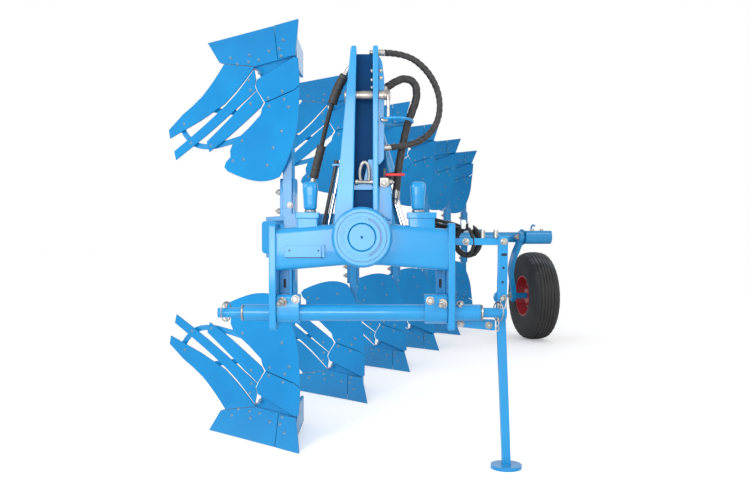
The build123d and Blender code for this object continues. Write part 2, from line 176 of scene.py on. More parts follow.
# Directions, with the headstock seen from the front.
TO_FRONT, TO_REAR, TO_LEFT, TO_RIGHT, UPRIGHT = (0, -1, 0), (0, 1, 0), (-1, 0, 0), (1, 0, 0), (0, 0, 1)


def grid(points, close_u=False, close_v=False, cap=False):
    """Faces over an (m, n) grid of points: each joins (i, j), (i, j+1), (i+1, j+1), (i+1, j).
    A cap closes the first and the last row with one face each."""
    m, n = points.shape[:2]
    i, j = np.meshgrid(np.arange(m if close_u else m - 1), np.arange(n if close_v else n - 1),
                       indexing="ij")
    a, b = (i + 1) % m, (j + 1) % n
    quads = np.stack([i * n + j, i * n + b, a * n + b, a * n + j], -1).reshape(-1, 4)
    caps = [np.arange(n)[::-1], (m - 1) * n + np.arange(n)] if cap else []
    return points.reshape(-1, 3), quads, caps


def piece(name, shapes, material=blue, body="headstock", bevel=0.0, smooth=35.0, replaced=()):
    """One object from several (points, quads, caps) shapes. Their points are put after each other,
    doubles are merged, faces turned outwards, and edges sharper than an angle stay sharp."""
    starts = np.cumsum([0] + [len(points) for points, _, _ in shapes])
    points = np.concatenate([points for points, _, _ in shapes])
    faces = [face for (_, quads, _), start in zip(shapes, starts) for face in (quads + start).tolist()]
    faces += [(cap + start).tolist() for (_, _, caps), start in zip(shapes, starts) for cap in caps]
    mesh = bpy.data.meshes.new(name)
    mesh.from_pydata(points.tolist(), [], faces)
    build = bmesh.new()
    build.from_mesh(mesh)
    bmesh.ops.remove_doubles(build, verts=build.verts, dist=1e-6)
    bmesh.ops.dissolve_degenerate(build, edges=build.edges, dist=1e-7)
    bmesh.ops.recalc_face_normals(build, faces=build.faces)
    build.to_mesh(mesh)
    build.free()
    mesh.polygons.foreach_set("use_smooth", np.full(len(mesh.polygons), smooth > 0))
    mesh.set_sharp_from_angle(angle=math.radians(smooth))
    mesh.materials.append(material)
    thing = bpy.data.objects.new(name, mesh)
    bpy.context.scene.collection.objects.link(thing)
    if bevel:
        rounding = thing.modifiers.new("rounded edges", "BEVEL")
        rounding.width = bevel
        rounding.segments = 2
        rounding.limit_method = "ANGLE"
        rounding.angle_limit = math.radians(40)
        rounding.harden_normals = True
    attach(thing, body)
    if replaced:
        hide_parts(*replaced)
    return thing


def rounded(corners, radius, steps=5):
    """An outline whose corners are parabolas tangent to both sides: (1-t)^2 A + 2t(1-t) C + t^2 B,
    with A and B on the sides at a radius from the corner C, or at 0.45 of a shorter side."""
    here = np.asarray(corners, float)
    back, ahead = np.roll(here, 1, 0) - here, np.roll(here, -1, 0) - here
    back_len, ahead_len = (np.linalg.norm(way, axis=1, keepdims=True) for way in (back, ahead))
    reach = np.minimum(radius, 0.45 * np.minimum(back_len, ahead_len))
    start, stop = here + back / back_len * reach, here + ahead / ahead_len * reach
    t = np.linspace(0, 1, steps)[None, :, None]
    curve = (1 - t) ** 2 * start[:, None] + 2 * t * (1 - t) * here[:, None] + t ** 2 * stop[:, None]
    return curve.reshape(-1, 2)


AXES = {"X": np.array([(0, 1, 0), (0, 0, 1), (1, 0, 0)], float),
        "Y": np.array([(1, 0, 0), (0, 0, 1), (0, 1, 0)], float),
        "Z": np.array([(1, 0, 0), (0, 1, 0), (0, 0, 1)], float)}


def prism(outline, axis, start, stop, origin=(0, 0, 0)):
    """An outline carried along a straight line. The axis is a letter, or three directions as rows:
    the outline's two and the line's."""
    frame_rows = AXES[axis] if isinstance(axis, str) else np.asarray(axis, float)
    flat = np.asarray(outline, float) @ frame_rows[:2]
    ends = np.array([start, stop])[:, None, None] * frame_rows[2]
    return grid(flat[None] + ends + np.asarray(origin, float), close_v=True, cap=True)


def oblong(left, right, low, high, radius=0.0, steps=5):
    """Outline of a rectangle between two sides and two levels, with its corners rounded."""
    corners = [(left, low), (right, low), (right, high), (left, high)]
    return rounded(corners, radius, steps) if radius else corners


beam_low, beam_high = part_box("crossbeam")
hub_low, hub_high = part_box("hub_housing")
HUB_Z = (hub_low.z + hub_high.z) / 2
BEAM_Y, BEAM_DEPTH = (beam_low.y + beam_high.y) / 2, beam_high.y - beam_low.y
BEAM_FRONT, BEAM_END = beam_low.y, beam_high.x
BEAM_FLAT, BEAM_FALL = 0.070, 0.021
BEAM_H, BEAM_CORNER = 0.154, 0.024
GIRDER_TOP = HUB_Z + 0.052
stations = np.array([-BEAM_END, -BEAM_FLAT, BEAM_FLAT, BEAM_END])
falls = np.array([BEAM_FALL, 0, 0, BEAM_FALL])
section = oblong(-BEAM_DEPTH / 2, BEAM_DEPTH / 2, -BEAM_H / 2, BEAM_H / 2, BEAM_CORNER, 7)
beam_grid = np.stack(np.broadcast_arrays(
    stations[:, None], section[:, 0] + BEAM_Y,
    section[:, 1] + (GIRDER_TOP - BEAM_H / 2 - falls)[:, None]), -1)
piece("crossbeam_girder", [grid(beam_grid, close_v=True, cap=True)], replaced=["crossbeam"])

# Blank plate. A thin sheet is screwed to the crossbeam's left arm, with a folded strip beside it.
# The sheet and strip have the girder's paint. The screws and a thin sheet in the gap under it are dark:
# painted shade of their holes and of the gap.
PLATE_LEFT, PLATE_RIGHT = -0.281, -0.148
PLATE_LOW, PLATE_HIGH = 0.205, 0.249
PLATE_FACE, SUNK = BEAM_FRONT - 0.0022, BEAM_FRONT + 0.002
# Painted shade: this near-black finish stands for the shade inside gaps, holes and slots.
dark = finish("painted shade in gaps and holes", (0.012, 0.02, 0.03, 1), (0.008, 0.013, 0.02, 1), 0.5)
plate = oblong(PLATE_LEFT, PLATE_RIGHT, PLATE_LOW, PLATE_HIGH, 0.003)
strip = oblong(PLATE_RIGHT + 0.002, PLATE_RIGHT + 0.013, PLATE_LOW, PLATE_HIGH + 0.001)
gap = oblong(PLATE_LEFT + 0.004, PLATE_RIGHT + 0.008, PLATE_LOW - 0.0022, PLATE_LOW)
piece("blank_plate", [prism(plate, "Y", PLATE_FACE, SUNK)])
piece("plate_strip", [prism(strip, "Y", BEAM_FRONT - 0.007, SUNK)], bevel=0.0015)
piece("plate_gap_shade_sheet", [prism(gap, "Y", BEAM_FRONT - 0.0009, SUNK)], dark)

# Fasteners. Hexagon bolts with washers, zinc plated, made as one set for each body: a turned
# washer, a head with chamfered corners, and where it shows the bolt's threaded end.
zinc = finish("zinc plate", (0.50, 0.49, 0.46, 1), (0.36, 0.35, 0.33, 1), 0.30, metallic=1.0,
              Patch_Scale=40.0, Dust=0.0)


def basis(axes):
    """For each axis two square directions: its cross product with up, or with X where it is steep."""
    axes = np.atleast_2d(np.asarray(axes, float))
    axes = axes / np.linalg.norm(axes, axis=1, keepdims=True)
    steep = np.abs(axes[:, 2:]) > 0.9
    other = np.where(steep, [[1.0, 0, 0]], [[0, 0, 1.0]])
    side = np.cross(other, axes)
    side /= np.linalg.norm(side, axis=1, keepdims=True)
    return side, np.cross(axes, side), axes


def turned(profile, places, axes, sides=24, twist=0.0):
    """One revolved shape at each place: a profile of (along, radius) goes round its axis, so a point
    is place + along * axis + radius * (cos a * side + sin a * up). One axis may serve all places."""
    profile = np.asarray(profile, float)
    side, up, axis = basis(axes)
    places = np.atleast_2d(np.asarray(places, float))
    a = twist + 2 * math.pi * np.arange(sides) / sides
    ring = np.cos(a)[None, :, None] * side[:, None] + np.sin(a)[None, :, None] * up[:, None]
    along = profile[:, 0][None, None, :, None] * axis[:, None, None]
    points = places[:, None, None] + along + profile[:, 1][None, None, :, None] * ring[:, :, None]
    return [grid(one, close_u=True) for one in points]


def bolts(places, axes, across=0.016, height=0.010, tail=0.0):
    """Washer, six-sided head and threaded end for each bolt, all as revolved profiles."""
    r = across / 2 / math.cos(math.pi / 6)
    washer = [(0, 0), (0, r * 1.35), (0.0022, r * 1.35), (0.0022, 0)]
    head = [(0.002, 0), (0.002, r), (0.002 + 0.82 * height, r), (0.002 + height, 0.82 * r),
            (0.002 + height, 0)]
    shapes = turned(washer, places, axes, 20) + turned(head, places, axes, 6, twist=0.3)
    if tail:
        thread_r = across * 0.3
        turns = np.arange(0, tail, 0.0012)
        depth = np.where(np.arange(len(turns)) % 2, thread_r, thread_r * 0.86)
        thread = [(0, 0), *zip(0.002 + height + turns, depth), (0.003 + height + tail, 0)]
        shapes += turned(thread, places, axes, 12)
    return shapes


screw = [(0, 0), (0, 0.0032), (0.0008, 0.0026), (0.001, 0)]
piece("plate_screws", turned(screw, [(x, PLATE_FACE, 0.2295) for x in (-0.264, -0.1585)], TO_FRONT, 12),
      dark)

# Hub. A turned housing is welded through the crossbeam and holds the turnover shaft's front end.
# Its face has a seal groove and a snap-ring groove, whose ring leaves a gap at the right. The
# shaft's end is flush inside it, with the lathe's centre mark.
FACE_Y = hub_low.y + 0.002
BORE = 0.0501
HUB_LEN = 0.170
hub_profile = [(HUB_LEN, BORE), (HUB_LEN, 0.094), (0.030, 0.094), (0.030, 0.106), (0.006, 0.106),
               (0.002, 0.1045), (0, 0.101), (0, 0.0905), (0.006, 0.0905), (0.006, 0.0885),
               (0, 0.0885), (0, 0.074), (0.010, 0.074), (0.010, 0.066), (0, 0.066), (0, 0.053),
               (0.002, 0.051), (0.004, BORE), (HUB_LEN, BORE)]
piece("hub", turned(hub_profile, (0, FACE_Y, HUB_Z), TO_REAR, 128), smooth=28, replaced=["hub_housing"])
ring_angle = np.radians(np.linspace(68, 290, 90))[:, None]
ring_depth, ring_radius = np.array([(0.0005, 0.0742), (0.0005, 0.0658), (0.008, 0.0658), (0.008, 0.0742)]).T
ring_grid = np.stack(np.broadcast_arrays(
    np.cos(ring_angle) * ring_radius, FACE_Y + ring_depth, HUB_Z - np.sin(ring_angle) * ring_radius), -1)
piece("snap_ring", [grid(ring_grid, close_v=True, cap=True)], smooth=28)
shaft_low, shaft_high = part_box("turnover_shaft")
SHAFT_LEN = shaft_high.y - shaft_low.y
shaft_profile = [(0.012, 0), (0.010, 0.0036), (0, 0.0046), (0, 0.0465), (0.002, 0.0490),
                 (SHAFT_LEN, 0.0490), (SHAFT_LEN, 0)]
piece("shaft_end", turned(shaft_profile, (0, shaft_low.y, HUB_Z), TO_REAR, 96), body="turning_frame",
      smooth=28, replaced=["turnover_shaft"])
brass = finish("grease nipple", (0.20, 0.10, 0.05, 1), (0.12, 0.07, 0.04, 1), 0.4, metallic=1.0)
nipple = [(0, 0), (0, 0.004), (0.004, 0.004), (0.006, 0.0022), (0.010, 0.0028), (0.012, 0.0015), (0.012, 0)]
piece("grease_nipple", turned(nipple, (0.074, BEAM_FRONT - 0.008, 0.352), (0.2, -1, 0.3), 12), brass)

# End plates. Thick flame-cut plates close the crossbeam's ends and reach down to the cross shaft.
# Each has a slotted tab welded to its inside, behind the clamp saddle.
end_low, end_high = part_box("end_plate_right")
END_IN, END_OUT = end_low.x, end_high.x
PLATE_TOP, PLATE_FOOT = 0.330, -0.062
TAB_W, TAB_FRONT, TAB_BACK = 0.036, 0.070, 0.082
end_outline = rounded([(-0.046, PLATE_FOOT), (0.050, PLATE_FOOT), (0.120, 0.040),
                       (0.120, PLATE_TOP - 0.030), (0.090, PLATE_TOP), (-0.052, PLATE_TOP),
                       (-0.052, 0.060)], 0.014)
for side, name in ((-1, "left"), (1, "right")):
    inner, tab_in = side * END_IN, side * (END_IN - TAB_W)
    middle = side * (END_IN - TAB_W / 2 - 0.002)
    tab = oblong(tab_in, inner, 0.060, 0.156, 0.006)
    slot = oblong(middle - 0.005, middle + 0.005, 0.087, 0.121, 0.005)
    piece(f"end_plate_{name}_cut", [prism(end_outline, "X", inner, side * END_OUT)], bevel=0.003,
          replaced=[f"end_plate_{name}"])
    piece(f"slotted_tab_{name}", [prism(tab, "Y", TAB_FRONT, TAB_BACK)], bevel=0.0015)
    # The slot is a dark sheet on the tab's front: painted shade of the opening.
    piece(f"slot_{name}", [prism(slot, "Y", TAB_FRONT - 0.0006, TAB_FRONT + 0.002)], dark)

# Cross shaft. A ground steel bar carries the tractor's lower-link balls on its turned pins, which
# linch pins with spring rings hold. Two saddles with big bolts clamp it to the end plates.
PIN_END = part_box("cross_shaft")[1].x
SADDLE_R, SADDLE_HALF, SADDLE_W, SADDLE_TOP = 0.040, 0.037, 0.084, 0.068
under = np.radians(np.linspace(180, 360, 25))
saddle_outline = np.concatenate([
    np.stack([np.cos(under), np.sin(under)], 1) * SADDLE_R,
    [(SADDLE_HALF, 0.030), (SADDLE_HALF, 0.060), (0.029, SADDLE_TOP), (-0.029, SADDLE_TOP),
     (-SADDLE_HALF, 0.060), (-SADDLE_HALF, 0.030)]])
piece("saddles", [prism(saddle_outline, "X", side * END_IN, side * (END_IN - SADDLE_W))
                  for side in (-1, 1)], bevel=0.003, replaced=["shaft_clamps"])
piece("saddle_bolts",
      bolts([(-0.290, -SADDLE_HALF, 0.043), (0.294, -SADDLE_HALF, 0.036)],
            [(-0.45, -1, -0.25), (-0.35, -1, -0.2)], 0.024, 0.014, 0.016)
      + bolts([(-0.243, -SADDLE_HALF, 0.052), (0.248, -SADDLE_HALF, 0.047)], TO_FRONT, 0.020, 0.010), zinc)
piece("shaft_bolt", bolts((0.360, -0.010, 0.029), (0.5, -0.5, 0.8), 0.020, 0.010, 0.004), zinc)


def tube(path, radius, sides=12, close=False):
    """A round section carried along a path: each ring lies square to the path's direction there,
    turned so that its first point is on the side of the path's own least used axis."""
    path = np.asarray(path, float)
    ahead = np.roll(path, -1, 0) - np.roll(path, 1, 0) if close else np.gradient(path, axis=0)
    ahead /= np.linalg.norm(ahead, axis=1, keepdims=True)
    least = np.eye(3)[np.argmin(np.abs(ahead).max(0))]
    side = np.cross(least, ahead)
    side /= np.linalg.norm(side, axis=1, keepdims=True)
    up = np.cross(ahead, side)
    angle = 2 * math.pi * np.arange(sides) / sides
    ring = np.cos(angle)[None, :, None] * side[:, None] + np.sin(angle)[None, :, None] * up[:, None]
    return grid(path[:, None] + ring * np.broadcast_to(radius, len(path))[:, None, None], close_u=close,
                close_v=True, cap=not close)


def loop_path(middle, radius_1, radius_2, direction_1, direction_2, start=0.0, stop=360.0, count=49):
    """An ellipse: middle + cos a * r1 * d1 + sin a * r2 * d2 between two angles in degrees."""
    angle = np.radians(np.linspace(start, stop, count))[:, None]
    return (np.asarray(middle) + np.cos(angle) * radius_1 * np.asarray(direction_1)
            + np.sin(angle) * radius_2 * np.asarray(direction_2))


def linch_pin(x, sign, lean):
    """A pin through the shaft with a sprung wire ring that snaps over to the other side."""
    profile = [(-0.034, 0), (-0.034, 0.004), (0.026, 0.0048), (0.026, 0.008), (0.036, 0.008), (0.038, 0)]
    ring = loop_path((x, -0.002, 0.004), 0.030, 0.036, (sign * math.sin(lean), -math.cos(lean), 0),
                     UPRIGHT, -75, 255)
    return turned(profile, (x, 0, 0), (0, -0.15, 1), 14) + [tube(ring, 0.0022, 8)]


piece("linch_pins", linch_pin(-PIN_END + 0.030, -1, 0.5) + linch_pin(PIN_END - 0.030, 1, 0.5), zinc)
shoulder = [(0, 0.019), (0, 0.029), (0.0035, 0.0305), (0.007, 0.029), (0.007, 0.019), (0, 0.019)]
piece("shoulder_rings", turned(shoulder, [(0.437, 0, 0), (-0.444, 0, 0)], TO_RIGHT, 40), zinc, smooth=30)

# Turnover stops. Stepped blocks on the crossbeam carry capped spindles, which the turning frame
# meets at each end of its swing. Blocks and caps are castings, painted after machining.
STOP_Y, STOP_TOP, CAP_TOP, CAP_SIDES = -0.002, 0.369, 0.482, 48
STOPS = ((-0.200, 0.088, -0.191), (0.218, 0.107, 0.205))
heights = np.array([STOP_TOP - 0.004, STOP_TOP + 0.010, STOP_TOP + 0.011, STOP_TOP + 0.016,
                    STOP_TOP + 0.030, STOP_TOP + 0.060, CAP_TOP - 0.030, CAP_TOP - 0.014,
                    CAP_TOP - 0.005, CAP_TOP - 0.001, CAP_TOP])[:, None]
halves = np.array([170, 170, 195, 235, 245, 262, 285, 282, 250, 200, 150])[:, None] / 10000
# A superellipse of power 3.2 makes the caps' section, between a circle and a square.
angle = np.linspace(0, 2 * math.pi, CAP_SIDES, endpoint=False)
bulge = (np.abs(np.cos(angle)) ** 3.2 + np.abs(np.sin(angle)) ** 3.2) ** (-1 / 3.2)
stop_shapes, cap_shapes = [], []
for x, width, cap_x in STOPS:
    for half, depth, low, high in ((width / 2, 0.038, STOP_TOP - 0.022, STOP_TOP),
                                   (width / 2 - 0.006, 0.034, 0.300, STOP_TOP - 0.021)):
        block = oblong(x - half, x + half, STOP_Y - depth, STOP_Y + depth, 0.004)
        stop_shapes.append(prism(block, "Z", low, high))
    cap_grid = np.stack(np.broadcast_arrays(
        cap_x + halves * bulge * np.cos(angle), STOP_Y + halves * bulge * np.sin(angle), heights), -1)
    cap_shapes.append(grid(cap_grid, close_v=True, cap=True))
piece("stop_blocks_cast", stop_shapes, bevel=0.002, replaced=["stop_blocks"])
piece("stop_caps_cast", cap_shapes, smooth=40, replaced=["stop_caps"])
collar = [(0, 0.0150), (0, 0.0215), (0.007, 0.0225), (0.010, 0.0190), (0.010, 0.0150), (0, 0.0150)]
piece("stop_collars", turned(collar, [(x, STOP_Y, STOP_TOP) for _, _, x in STOPS], UPRIGHT, 32), zinc,
      smooth=30)

# Tower. Two folded walls stand on the crossbeam with a back plate behind them and a web between
# them above the hub. The left one's front flange widens downwards, and the right one has a gusset.
TOWER_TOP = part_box("tower_back")[1].z + 0.008
TOWER_FRONT, TOWER_BACK = (corner.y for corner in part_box("tower_left"))
FOOT = HUB_Z + 0.030
WALL_T, FLANGE_T, EAR_R = 0.020, 0.014, 0.009
LEFT_IN, RIGHT_IN = -0.020, 0.039
LEFT_FOOT, RIGHT_OUT = LEFT_IN - 0.013, RIGHT_IN + WALL_T
GUSSET_FRONT, GUSSET_TOP = -0.010, 0.466
wall_left = rounded([(LEFT_FOOT, FOOT), (LEFT_IN, TOWER_TOP), (LEFT_IN - WALL_T, TOWER_TOP),
                     (LEFT_FOOT - WALL_T, FOOT)], EAR_R)
flange_left = rounded([(-0.106, FOOT), (LEFT_FOOT, FOOT), (LEFT_IN, TOWER_TOP - 0.002),
                       (LEFT_IN - WALL_T - 0.001, TOWER_TOP - 0.002)], EAR_R)
wall_right = oblong(RIGHT_IN, RIGHT_OUT, FOOT, TOWER_TOP, EAR_R)
gusset = [(RIGHT_OUT - 0.002, FOOT), (RIGHT_OUT + 0.054, FOOT), (RIGHT_OUT + 0.048, GUSSET_TOP),
          (RIGHT_OUT - 0.002, GUSSET_TOP)]
upper_flange = rounded([(RIGHT_OUT - 0.002, 0.540), (RIGHT_OUT + 0.022, 0.562), (RIGHT_OUT + 0.022, 0.860),
                        (RIGHT_OUT + 0.014, 0.925), (RIGHT_OUT - 0.002, 0.948)], 0.012)
back = rounded([(-0.106, FOOT), (RIGHT_OUT + 0.048, FOOT), (RIGHT_OUT, TOWER_TOP - 0.010),
                (LEFT_IN - WALL_T, TOWER_TOP - 0.010)], 0.004)
web = rounded([(LEFT_IN - 0.012, 0.452), (RIGHT_IN + 0.001, 0.452), (RIGHT_IN + 0.001, 0.564),
               (0.022, 0.564), (0.002, 0.474), (LEFT_IN - 0.012, 0.474)], 0.003)
# Painted shade: the back plate takes a darker blue than the rest, and the well is a thin dark sheet between
# the walls where the recess lies in shade.
well = oblong(LEFT_IN - 0.011, RIGHT_IN, HUB_Z + 0.06, 0.455, 0.002)
painted_shade = finish("paint darkened as painted shade", (0.003, 0.075, 0.22, 1), (0.002, 0.055, 0.17, 1), 0.5, specular=0.12)
weld = finish("painted weld", PAINT_BLUE, PAINT_DEEP, 0.24, PAINT_EDGE, coat=0.5, Grain_Scale=420.0,
              Grain=0.5)
piece("tower_wall_left", [prism(wall_left, "Y", TOWER_FRONT + 0.002, TOWER_BACK)], bevel=0.0035,
      replaced=["tower_left"])
piece("tower_flange_left", [prism(flange_left, "Y", TOWER_FRONT, TOWER_FRONT + FLANGE_T)], bevel=0.0035)
piece("tower_wall_right", [prism(wall_right, "Y", TOWER_FRONT, TOWER_BACK)], bevel=0.0035,
      replaced=["tower_right"])
piece("tower_gusset", [prism(outline, "Y", GUSSET_FRONT, GUSSET_FRONT + FLANGE_T)
                       for outline in (gusset, upper_flange)], bevel=0.002)
piece("tower_back_plate", [prism(back, "Y", TOWER_BACK, TOWER_BACK + 0.016)], painted_shade, bevel=0.002,
      replaced=["tower_back"])
piece("tower_web", [prism(web, "Y", -0.006, 0.006)], bevel=0.0015)
piece("tower_well_shade_sheet", [prism(well, "Y", 0.020, 0.024)], painted_shade)


def weld_bead(start, stop, radius=0.0042, pitch=0.006):
    """A fillet weld along a straight line: a tube whose radius swells once for each ripple, as
    r * (0.86 + 0.14 |sin|), and tapers to nothing at both ends."""
    start, stop = np.asarray(start, float), np.asarray(stop, float)
    count = max(12, int(np.linalg.norm(stop - start) / pitch * 4))
    t = np.linspace(0, 1, count)
    ripple = 0.86 + 0.14 * np.abs(np.sin(np.arange(count) * math.pi / 4))
    taper = np.clip(np.minimum(t, 1 - t) * 24, 0.1, 1)
    return tube(start + t[:, None] * (stop - start), radius * ripple * taper, 8)


WELD_Y = GUSSET_FRONT - 0.001
TOWER_HALF = 0.104
beads = [((-TOWER_HALF, TOWER_FRONT + 0.003, GIRDER_TOP - 0.001),
          (-0.070, TOWER_FRONT + 0.003, GIRDER_TOP + 0.001)),
         ((RIGHT_OUT, TOWER_FRONT + 0.006, FOOT + 0.070), (RIGHT_OUT, TOWER_FRONT + 0.026, 0.455)),
         ((RIGHT_OUT + 0.046, WELD_Y, GIRDER_TOP + 0.010), (RIGHT_OUT + 0.008, WELD_Y, GIRDER_TOP + 0.026)),
         ((RIGHT_OUT + 0.001, WELD_Y, FOOT + 0.080), (RIGHT_OUT + 0.001, WELD_Y, GUSSET_TOP - 0.004)),
         ((-TOWER_HALF, TOWER_BACK + 0.014, GIRDER_TOP - 0.001),
          (TOWER_HALF, TOWER_BACK + 0.014, GIRDER_TOP - 0.001))]
low = GIRDER_TOP - BEAM_FALL - BEAM_H
for x in (0.001 - END_IN, END_IN - 0.001):
    beads += [((x, BEAM_FRONT + 0.001, low + BEAM_CORNER),
               (x, BEAM_FRONT + 0.001, low + BEAM_H - BEAM_CORNER)),
              ((x, BEAM_FRONT + 0.026, low + BEAM_H), (x, beam_high.y - 0.026, low + BEAM_H))]
piece("headstock_welds", [weld_bead(*ends) for ends in beads], weld, smooth=60)
WELD_RING = 0.1065
around_hub = np.linspace(0, 2 * math.pi, 160, endpoint=False)
hub_ring = np.stack([WELD_RING * np.cos(around_hub), np.full(160, BEAM_FRONT - 0.0005),
                     HUB_Z + WELD_RING * np.sin(around_hub)], 1)
piece("hub_weld", [tube(hub_ring, 0.0042 + 0.0006 * np.sin(around_hub * 60), 8, close=True)], weld,
      smooth=60)
piece("tower_bolts",
      bolts([(RIGHT_OUT + 0.009, GUSSET_FRONT, z) for z in (0.888, 0.862)], TO_FRONT, 0.009, 0.004)
      + bolts([(RIGHT_IN, 0.005, 0.890), (RIGHT_IN, 0.005, 0.857), (RIGHT_IN, 0.018, 0.832)], TO_LEFT,
              0.012, 0.006), zinc)

# Top-link pin. A plain steel pin through both walls, with a thicker middle for the link's ball, a
# collar on the right, and a bent handle. A nut and a spring ring hold its left end.
pin_low, pin_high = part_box("top_link_pin")
PIN_Z = (pin_low.z + pin_high.z) / 2
PIN_R = 0.0150
pin_steel = finish("worn pin steel", (0.52, 0.48, 0.44, 1), (0.36, 0.33, 0.30, 1), 0.30, metallic=1.0,
                   Patch_Scale=30.0, Dust=0.0)
pin_profile = [(-0.066, 0), (-0.066, 0.0120), (-0.063, PIN_R), (-0.012, PIN_R), (-0.002, 0.0172),
               (0.028, 0.0172), (0.038, PIN_R), (RIGHT_OUT + 0.002, PIN_R), (RIGHT_OUT + 0.002, 0.0195),
               (RIGHT_OUT + 0.020, 0.0200), (RIGHT_OUT + 0.021, 0.0175), (RIGHT_OUT + 0.044, 0.0175),
               (RIGHT_OUT + 0.045, 0)]
piece("top_pin", turned(pin_profile, (0, 0, PIN_Z), TO_RIGHT, 40), pin_steel, smooth=30,
      replaced=["top_link_pin"])
handle = np.array([(0, -16, 4), (0, -21, -6), (0, -22, -30), (0, -22, -75), (-2, -24, -88), (-12, -26, -96),
                   (-26, -26, -92)]) / 1000 + (RIGHT_OUT + 0.036, 0, PIN_Z)


def smooth_path(points, steps=8):
    """A curve through given points, a cubic Hermite between each pair with slopes from neighbours."""
    points = np.asarray(points, float)
    slopes = np.gradient(points, axis=0)
    t = np.linspace(0, 1, steps, endpoint=False)[None, :, None]
    p0, p1, m0, m1 = (v[:, None] for v in (points[:-1], points[1:], slopes[:-1], slopes[1:]))
    run = ((2 * t ** 3 - 3 * t ** 2 + 1) * p0 + (t ** 3 - 2 * t ** 2 + t) * m0
           + (3 * t ** 2 - 2 * t ** 3) * p1 + (t ** 3 - t ** 2) * m1)
    return np.concatenate([run.reshape(-1, 3), points[-1:]])


piece("pin_handle", [tube(smooth_path(handle), 0.0058, 14)], zinc, smooth=60)
nut_ring = loop_path((-0.058, -0.004, PIN_Z), 0.024, 0.030, (0.1, -1, 0), (0.15, 0, 1), 20, 330)
piece("pin_nut", bolts((-0.041, 0, PIN_Z), TO_LEFT, 0.034, 0.014) + [tube(nut_ring, 0.0024, 8)], zinc)

# Lifting shackle. A galvanised bow hangs on a pin across the web, for lifting the plough's front.
# The pin has a head at one end and a nut at the other.
SHACKLE_Z = 0.508
bow = loop_path((0.009, -0.020, SHACKLE_Z + 0.002), 0.0175, 0.043, TO_RIGHT, (0, -0.25, 0.97), -52, 232)
bow_pin = [(-0.026, 0), (-0.026, 0.010), (-0.020, 0.012), (-0.014, 0.0070), (0.032, 0.0070),
           (0.034, 0.0105), (0.040, 0.0105), (0.042, 0)]
piece("shackle", [tube(bow, 0.0062, 12)] + turned(bow_pin, (0, -0.018, SHACKLE_Z - 0.028), TO_RIGHT, 16),
      zinc, smooth=45)

# Ball valve. It is screwed on the gusset's level top, with a grey stem and a red lever that
# locks the plough's oil for the road. Its unions are zinc plated.
VALVE_X, VALVE_Y = RIGHT_OUT + 0.022, -0.004
VALVE_HALF_X, VALVE_HALF_Y = 0.016, 0.018
grey = finish("grey casting", (0.10, 0.11, 0.12, 1), (0.06, 0.065, 0.07, 1), 0.42, metallic=0.6)
lever_red = finish("red lever", (0.62, 0.012, 0.02, 1), (0.5, 0.008, 0.014, 1), 0.34, (0.8, 0.3, 0.3, 1))
valve_block = oblong(VALVE_X - VALVE_HALF_X, VALVE_X + VALVE_HALF_X, VALVE_Y - VALVE_HALF_Y,
                     VALVE_Y + VALVE_HALF_Y, 0.003)
piece("valve_block", [prism(valve_block, "Z", GUSSET_TOP - 0.002, GUSSET_TOP + 0.030)], zinc, bevel=0.002)
piece("valve_unions", bolts([(VALVE_X + VALVE_HALF_X, VALVE_Y, GUSSET_TOP + 0.014),
                             (VALVE_X, VALVE_Y - VALVE_HALF_Y, GUSSET_TOP + 0.010)],
                            [TO_RIGHT, TO_FRONT], 0.020, 0.012, 0.006), zinc)
stem = [(0.028, 0), (0.028, 0.010), (0.034, 0.010), (0.034, 0.0058), (0.060, 0.0058), (0.064, 0.0040),
        (0.066, 0)]
piece("valve_stem", turned(stem, (VALVE_X, VALVE_Y, GUSSET_TOP), UPRIGHT, 20), grey, smooth=30)
lever = rounded([(VALVE_X + 0.004, VALVE_Y - 0.012), (VALVE_X + 0.072, VALVE_Y - 0.020),
                 (VALVE_X + 0.076, VALVE_Y - 0.008), (VALVE_X + 0.004, VALVE_Y + 0.004)], 0.005)
piece("valve_lever", [prism(lever, "Z", GUSSET_TOP + 0.037, GUSSET_TOP + 0.046)], lever_red, bevel=0.002)

# Hose guide. An oval ring of round bar is welded to the tower's right wall, and the hose bundle
# hangs in it, clear of the wall.
GUIDE_Z = 0.709
guide = loop_path((RIGHT_OUT + 0.062, 0.040, GUIDE_Z), 0.066, 0.080, TO_RIGHT, (0, 1, -0.04), 0, 360, 72)
guide_foot = [(RIGHT_OUT + 0.001, y, GUIDE_Z + 0.004) for y in (0.020, 0.056)]
piece("hose_guide", [tube(guide[:-1], 0.0052, 12, close=True)], smooth=60)
piece("guide_weld", [weld_bead(*guide_foot)], weld, smooth=60)

# Rigid oil pipes. Two steel pipes, one chromed and one dark, run from a small bracket on the left
# wall straight down and outwards to the crossbeam, each with a nut at its top.
chrome = finish("chrome", (0.78, 0.79, 0.80, 1), (0.72, 0.73, 0.74, 1), 0.07, metallic=1.0, Grain=0.0,
                Dust=0.0)
slate = finish("dark pipe", (0.05, 0.055, 0.06, 1), (0.035, 0.04, 0.045, 1), 0.3, metallic=0.5)
PIPE_TOP = 0.543
ledge = oblong(-0.112, -0.030, -0.004, 0.004, 0.002)
piece("pipe_bracket", [prism(ledge, "Y", 0.020, 0.058, origin=(0, 0, PIPE_TOP + 0.004))], bevel=0.001)
for name, x, material in (("pipe_chromed", -0.079, chrome), ("pipe_dark", -0.096, slate)):
    share = np.linspace(0, 1, 20)[:, None]
    line = np.array([x, 0.040, PIPE_TOP + 0.018]) + share * np.array([-0.048, 0, -0.236])
    nut = line[:2] + [0, 0, 0.004]
    piece(name, [tube(line, 0.0072, 16), tube(nut, 0.0098, 16)], material, smooth=60)

